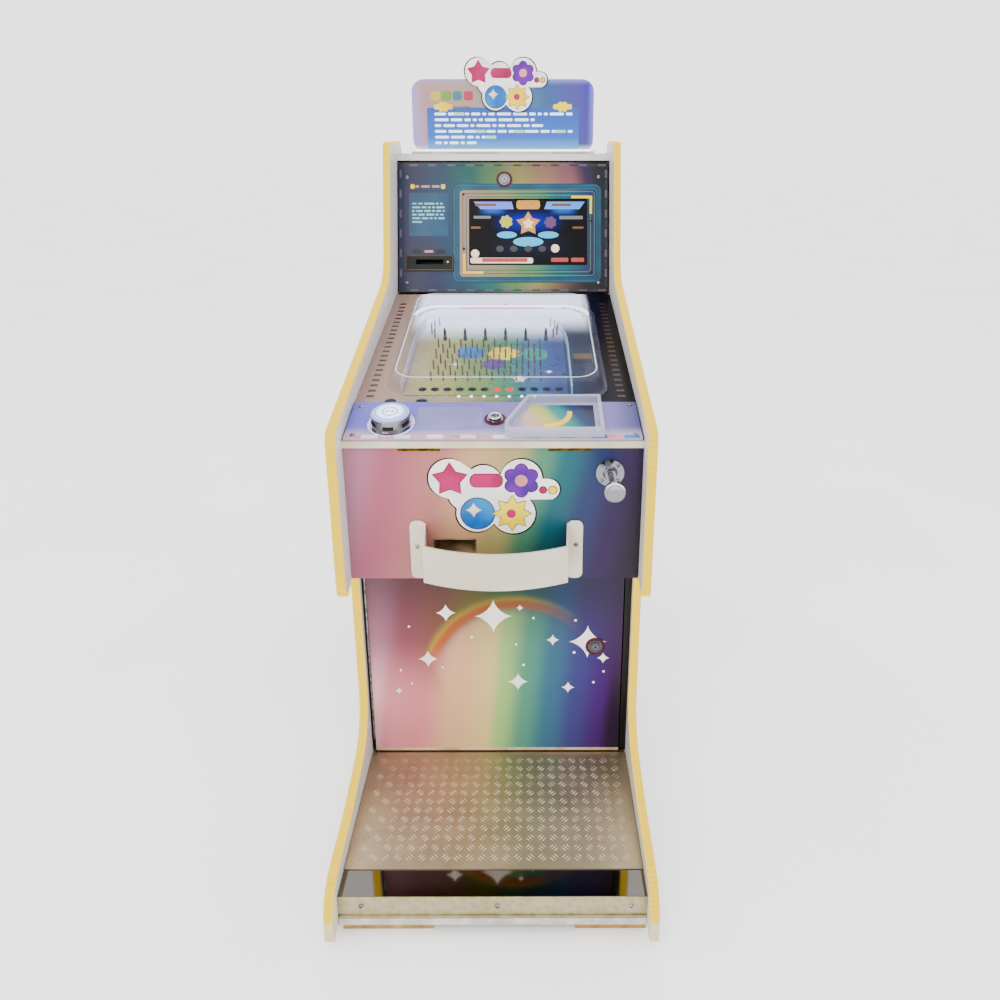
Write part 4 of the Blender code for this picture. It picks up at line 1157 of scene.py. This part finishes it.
def card_reader():
    """The dark reader's own material and the marks on its face."""
    plastic = moulded("reader_plastic", "#14363e", "#0e2a32", 0.3, 0.4, Specular_IOR_Level=0.15)
    finish(plastic, "card_reader", edge=0.0016)
    face = lifted(HEADER, 0.0070)
    piece = Piece("card_reader_face", "header_door", face)
    piece.use(ink("reader_gold", "#6f5a34", "#83693c"))
    outline = rectangle(-0.282, 0.063, -0.145, 0.106, 0.004, 3)
    piece.edged(outline, 0.0022, 0.0005)
    mouth = rectangle(-0.258, 0.075, -0.167, 0.099, 0.003, 3)
    piece.use(DARK).edged(mouth, 0.0040, 0.0009)
    piece.use(glowing("reader_lamp", "#e0d060", 1.0)).slab(circle((-0.160, 0.087), 0.0026, 16), 0.0, 0.0012)
    piece.done()
    label = Piece("card_reader_label", "header_door", HEADER).use(ink("label_navy", "#101838", "#182040"))
    for x0 in (-0.262, -0.196):
        label.bar((x0, 0.112, x0 + 0.027, 0.124, 0.003, 2), 0.0005)
    label.use(ROSE_INK).bar((-0.228, 0.1145, -0.203, 0.1215, 0.002, 2), 0.0005).done()


def screen():
    """The display behind its bezel, with a lit picture of plain shapes."""
    finish(moulded("display_case", "#0b0b10", "#12121a", 0.3, 0.45), "display")
    depth = -0.0020
    picture = Paint("screen_picture", "#05060f", 0.30, Emission_Strength=1.6).set("Specular IOR Level", 0.1)
    x, y, _ = picture.axes(HEADER)
    across, up = (x - 0.0715) / 0.341, (y - 0.1735) / 0.191
    beam = picture.smooth(abs(across), 0.34, 0.05) * picture.smooth(abs(up - 0.16), 0.20, 0.02)
    side = picture.smooth(abs(abs(across) - 0.30), 0.14, 0.02) * picture.smooth(abs(up - 0.36), 0.12, 0.03)
    floor = picture.smooth(abs(across), 0.46, 0.10) * picture.smooth(abs(up + 0.20), 0.26, 0.02)
    tone = picture.mix(beam, "#070818", "#2a58d0")
    tone = picture.mix(side, tone, "#6a8ae8")
    tone = picture.mix(floor * 0.6, tone, "#3a4468")
    picture.set("Base Color", rgb("#05060f")).set("Emission Color", tone)
    picture.grain(900, 0.00003, 0.1)
    glass = rectangle(-0.1040, 0.0730, 0.2470, 0.2740)
    sheet("screen_glass", "header_door", HEADER, picture.material, glass, -0.0110, depth)
    art = Piece("screen_art", "header_door", lifted(HEADER, depth))

    def oval(x, y, a, b):
        return [Vector((x + a * p.x, y + b * p.y)) for p in circle((0, 0), 1, 28)]

    def bar(x0, y0, x1, y1, radius=0.002, steps=2):
        return rectangle(x0, y0, x1, y1, radius, steps)

    tones = {
        "sky_left": ("#7a86e0",),
        "sky_right": ("#5a9ae0",),
        "cyan": ("#5fa8d0", "#78c0dc"),
        "deep": ("#1c1c34",),
        "amber": ("#c08a50", "#e0b070"),
        "brown": ("#7a4a34", "#a06a48"),
        "lime": ("#b0b858",),
        "violet": ("#6a4470",),
        "red": ("#b83a48", "#d86a70"),
        "pale": ("#d8c8b8",),
        "grey": ("#7a7a84",),
    }
    shapes = (
        ("sky_left", path((-0.086, 0.262), (0.024, 0.262), (0.030, 0.240), (-0.066, 0.240))),
        ("sky_right", path((0.118, 0.240), (0.220, 0.240), (0.236, 0.262), (0.126, 0.262))),
        ("amber", bar(0.038, 0.240, 0.106, 0.266, 0.008, 4)),
        ("brown", bar(-0.082, 0.249, -0.020, 0.256)),
        ("brown", bar(0.140, 0.249, 0.196, 0.256)),
        ("grey", bar(-0.086, 0.213, -0.036, 0.221)),
        ("grey", bar(0.162, 0.211, 0.230, 0.221)),
        ("brown", bar(-0.094, 0.184, -0.066, 0.190, 0.001)),
        ("brown", bar(0.200, 0.184, 0.232, 0.190, 0.001)),
        ("cyan", oval(0.010, 0.166, 0.029, 0.010)),
        ("cyan", oval(0.130, 0.166, 0.030, 0.010)),
        ("cyan", oval(0.072, 0.146, 0.044, 0.014)),
        ("lime", lobed((0.008, 0.204), 0.019, 7, 0.2)),
        ("violet", lobed((0.136, 0.202), 0.018, 7, 0.2)),
        ("amber", star((0.072, 0.198), 0.036, 0.020, 5)),
        ("pale", star((0.072, 0.198), 0.018, 0.010, 5)),
        *(("deep", oval(x, 0.126, 0.011, 0.009)) for x in (-0.010, 0.030, 0.072, 0.112)),
        ("pale", oval(0.150, 0.127, 0.012, 0.012)),
        ("pale", oval(-0.082, 0.112, 0.012, 0.012)),
        ("pale", bar(-0.096, 0.084, 0.086, 0.100, 0.005, 3)),
        ("red", bar(-0.062, 0.088, 0.070, 0.099, 0.003, 3)),
        ("red", bar(0.138, 0.088, 0.188, 0.100, 0.003, 3)),
        ("red", bar(0.196, 0.088, 0.234, 0.100, 0.003, 3)),
    )
    lit = {name: glowing(f"screen_{name}", colours[0], 0.9, colours[-1]) for name, colours in tones.items()}
    for k, (tone, outline) in enumerate(shapes):
        art.use(lit[tone]).slab(outline, 0.0, 0.0003 + 0.00003 * k)
    art.done()


# ---------------------------------------------------------------- marquee


def marquee():
    """The edge-lit panel, its blue rules field, its title blocks and the emblem over it."""
    finish(moulded("channel_plastic", "#cfcbc6", "#bab6b2"), "marquee_channel", edge=0.0010)
    paint = Paint("marquee_glow", roughness=0.3, Emission_Strength=1.0)
    x, y, _ = paint.axes(MARQUEE)
    along = (x + (y - 1.57) * 0.15) / 0.518 + 0.5
    shade = paint.ramp(
        along,
        (0.00, "#c8b4dc"), (0.10, "#c9a8a8"), (0.30, "#c4b0a0"), (0.48, "#a8b4b0"), (0.62, "#6a9ab0"),
        (0.78, "#5c78b8"), (0.92, "#6c66bc"), (1.00, "#5a4cd0"),
    )
    edge = paint.smooth(abs(x), 0.238, 0.259).op("MAXIMUM", paint.smooth(y, 1.655, 1.673))
    shade = paint.mix(edge * 0.55, shade, "#b4b4f4")
    shade = paint.mix(paint.smooth(y, 1.500, 1.474), shade, "#e8f6ff")
    paint.set("Base Color", paint.mix(0.65, shade, "#000000")).set("Emission Color", shade)
    paint.grain(300, 0.0001, 0.1)
    finish(paint.material, "marquee_panel", edge=0.0012)
    field = Paint("marquee_field", roughness=0.3, Emission_Strength=1.1)
    up = (field.axes(MARQUEE)[1] - 1.480) / 0.120
    blue = field.ramp(up, (0.0, "#8abcf6"), (0.35, "#3f88ea"), (1.0, "#3478d4"))
    field.set("Base Color", field.mix(0.65, blue, "#000000")).set("Emission Color", blue)
    field.grain(300, 0.0001, 0.1)
    board = Piece("marquee_rules", "cabinet", MARQUEE).use(field.material)
    board.bar((-0.217, 1.4845, 0.217, 1.597, 0.006), 0.0005)
    board.use(glowing("marquee_white", "#dcecff", 0.7, "#f4faff"))
    for k, short in enumerate((1.0, 0.74, 0.80, 1.0, 0.42, 0.30)):
        greeked(board, -0.196, 0.20, 1.576 - 0.0158 * k, 0.0072, 7 + k, short, 0.0005, 0.0009)
    board.use(glowing("marquee_green", "#a8d8b0", 0.6))
    for x0, y0 in ((-0.080, 1.5286), (0.030, 1.5286), (0.150, 1.5286), (-0.140, 1.576), (-0.050, 1.5128)):
        board.slab(rectangle(x0, y0 - 0.0004, x0 + 0.030, y0 + 0.0076, 0.002, 2), 0.0005, 0.0011)
    blocks = (("#c8b840", -0.204), ("#7fa850", -0.173), ("#4a8a98", -0.142), ("#c04868", -0.111))
    for k, (colour, x0) in enumerate(blocks):
        board.use(glowing(f"title_block_{k}", colour, 0.35))
        board.bar((x0, 1.616, x0 + 0.026, 1.641, 0.006, 3), 0.0008)
    board.use(YELLOW_INK)
    for sign in (-1, 1):
        x = sign * 0.170
        board.bar((x - 0.027, 1.592, x + 0.027, 1.606, 0.005, 3), 0.0012)
        board.slab(lobed((x, 1.599), 0.016, 4, 0.3), 0.0, 0.0014)
    board.use(ink("rail_brown", "#a08870", "#8f7a66"))
    board.bar((-0.150, 1.5975, -0.094, 1.6000), 0.0008)
    board.bar((0.128, 1.5975, 0.150, 1.6000), 0.0008)
    board.done()
    light = glowing("base_light", "#ffffff", 2.0, "#e8f4ff")
    tube = rectangle(-0.252, 1.4772, 0.252, 1.4822, 0.0015, 2)
    sheet("marquee_base_light", "cabinet", MARQUEE, light, tube, 0.0, 0.0010, 0.0003)
    sign = Paint("sign_board", "#c9bce0", 0.3, Emission_Strength=0.12).mottle("#cfc4e4", "#bfb4dc", 20)
    sign.set("Emission Color", rgb("#b0a0d8")).grain(400, 0.0001, 0.1)
    finish(sign.material, "marquee_sign", edge=0.0015)
    emblem("sign_emblem", "cabinet", SIGN, (0.0175, 1.6575), 0.128, 0.0, 0.0012)


# ---------------------------------------------------------------- inside


def inside():
    """The parts behind the door and under the playfield."""
    finish(moulded("trough_plastic", "#1b1b1e", "#242428"), "return_trough", edge=0.0010)
    finish(moulded("chute_black", "#1b1b1e", "#242428"), "launch_chute", edge=0.0010)
    finish(moulded("hopper_plastic", "#cfccc4", "#bdb9b0"), "ball_hopper", edge=0.0010)
    finish(metal("supply_case", "#9a9b9d", "#86878a", 0.35, 0.5), "power_supply", edge=0.0010)
    finish(ink("solder_mask", "#14502c", "#1a6034", 0.35), "control_board")
    finish(moulded("speaker_cone", "#151517", "#202024"), "speaker")
    finish(moulded("inlet_plastic", "#101012", "#1a1a1e"), "power_inlet")


# ---------------------------------------------------------------- stage


def area_light(name, spot, target, size, energy, colour="#ffffff"):
    """A square light at a spot, turned to its target."""
    light = bpy.data.lights.new(name, "AREA")
    light.energy = energy
    light.size = size
    light.color = rgb(colour)
    turn = (Vector(target) - Vector(spot)).to_track_quat("-Z", "Y")
    added(name, light).matrix_world = Matrix.Translation(spot) @ turn.to_matrix().to_4x4()


def stage():
    """A pale floor and soft studio light."""
    paint = Paint("floor", "#fdfdfd", 0.8).mottle("#fefefe", "#fbfbfb", 1.5)
    bm = bmesh.new()
    bmesh.ops.create_grid(bm, x_segments=1, y_segments=1, size=50)
    mesh = bpy.data.meshes.new("floor")
    bm.to_mesh(mesh)
    bm.free()
    mesh.materials.append(paint.material)
    added("floor", mesh)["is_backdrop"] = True
    world = bpy.data.worlds.new("studio")
    world.use_nodes = True
    world.node_tree.nodes["Background"].inputs[0].default_value = (*rgb("#fbfbfc"), 1)
    world.node_tree.nodes["Background"].inputs[1].default_value = 2.8
    bpy.context.scene.world = world
    area_light("key", (-1.6, -3.2, 3.2), (0, 0, 0.9), 2.0, 90, "#fff6ea")
    area_light("fill", (2.6, -2.4, 1.8), (0, 0, 0.8), 2.4, 25, "#eef2ff")
    area_light("top", (0.3, 0.4, 4.2), (0, 0, 1.0), 2.2, 30)


def camera():
    """A viewpoint in front of the console and a little above the playfield."""
    data = bpy.data.cameras.new("camera")
    data.sensor_width = 36.0
    data.lens = 29.42
    data.shift_x = -0.030
    data.shift_y = -0.11
    data.clip_end = 60
    obj = added("camera", data)
    obj.location = (0.0712, -1.8746, 1.5231)
    obj.rotation_euler = (math.radians(90 - 17.35), 0, math.radians(-0.14))
    bpy.context.scene.camera = obj


board_materials()
front_box()
leg()
lock("door", "service_door", DOOR, DOOR_LOCK)
base()
console()
playfield()
header()
marquee()
inside()
stage()
camera()
boxes = {"cad": CAD_BOX, "visual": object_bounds()}
{key: [list(corner) for corner in box] for key, box in boxes.items()}
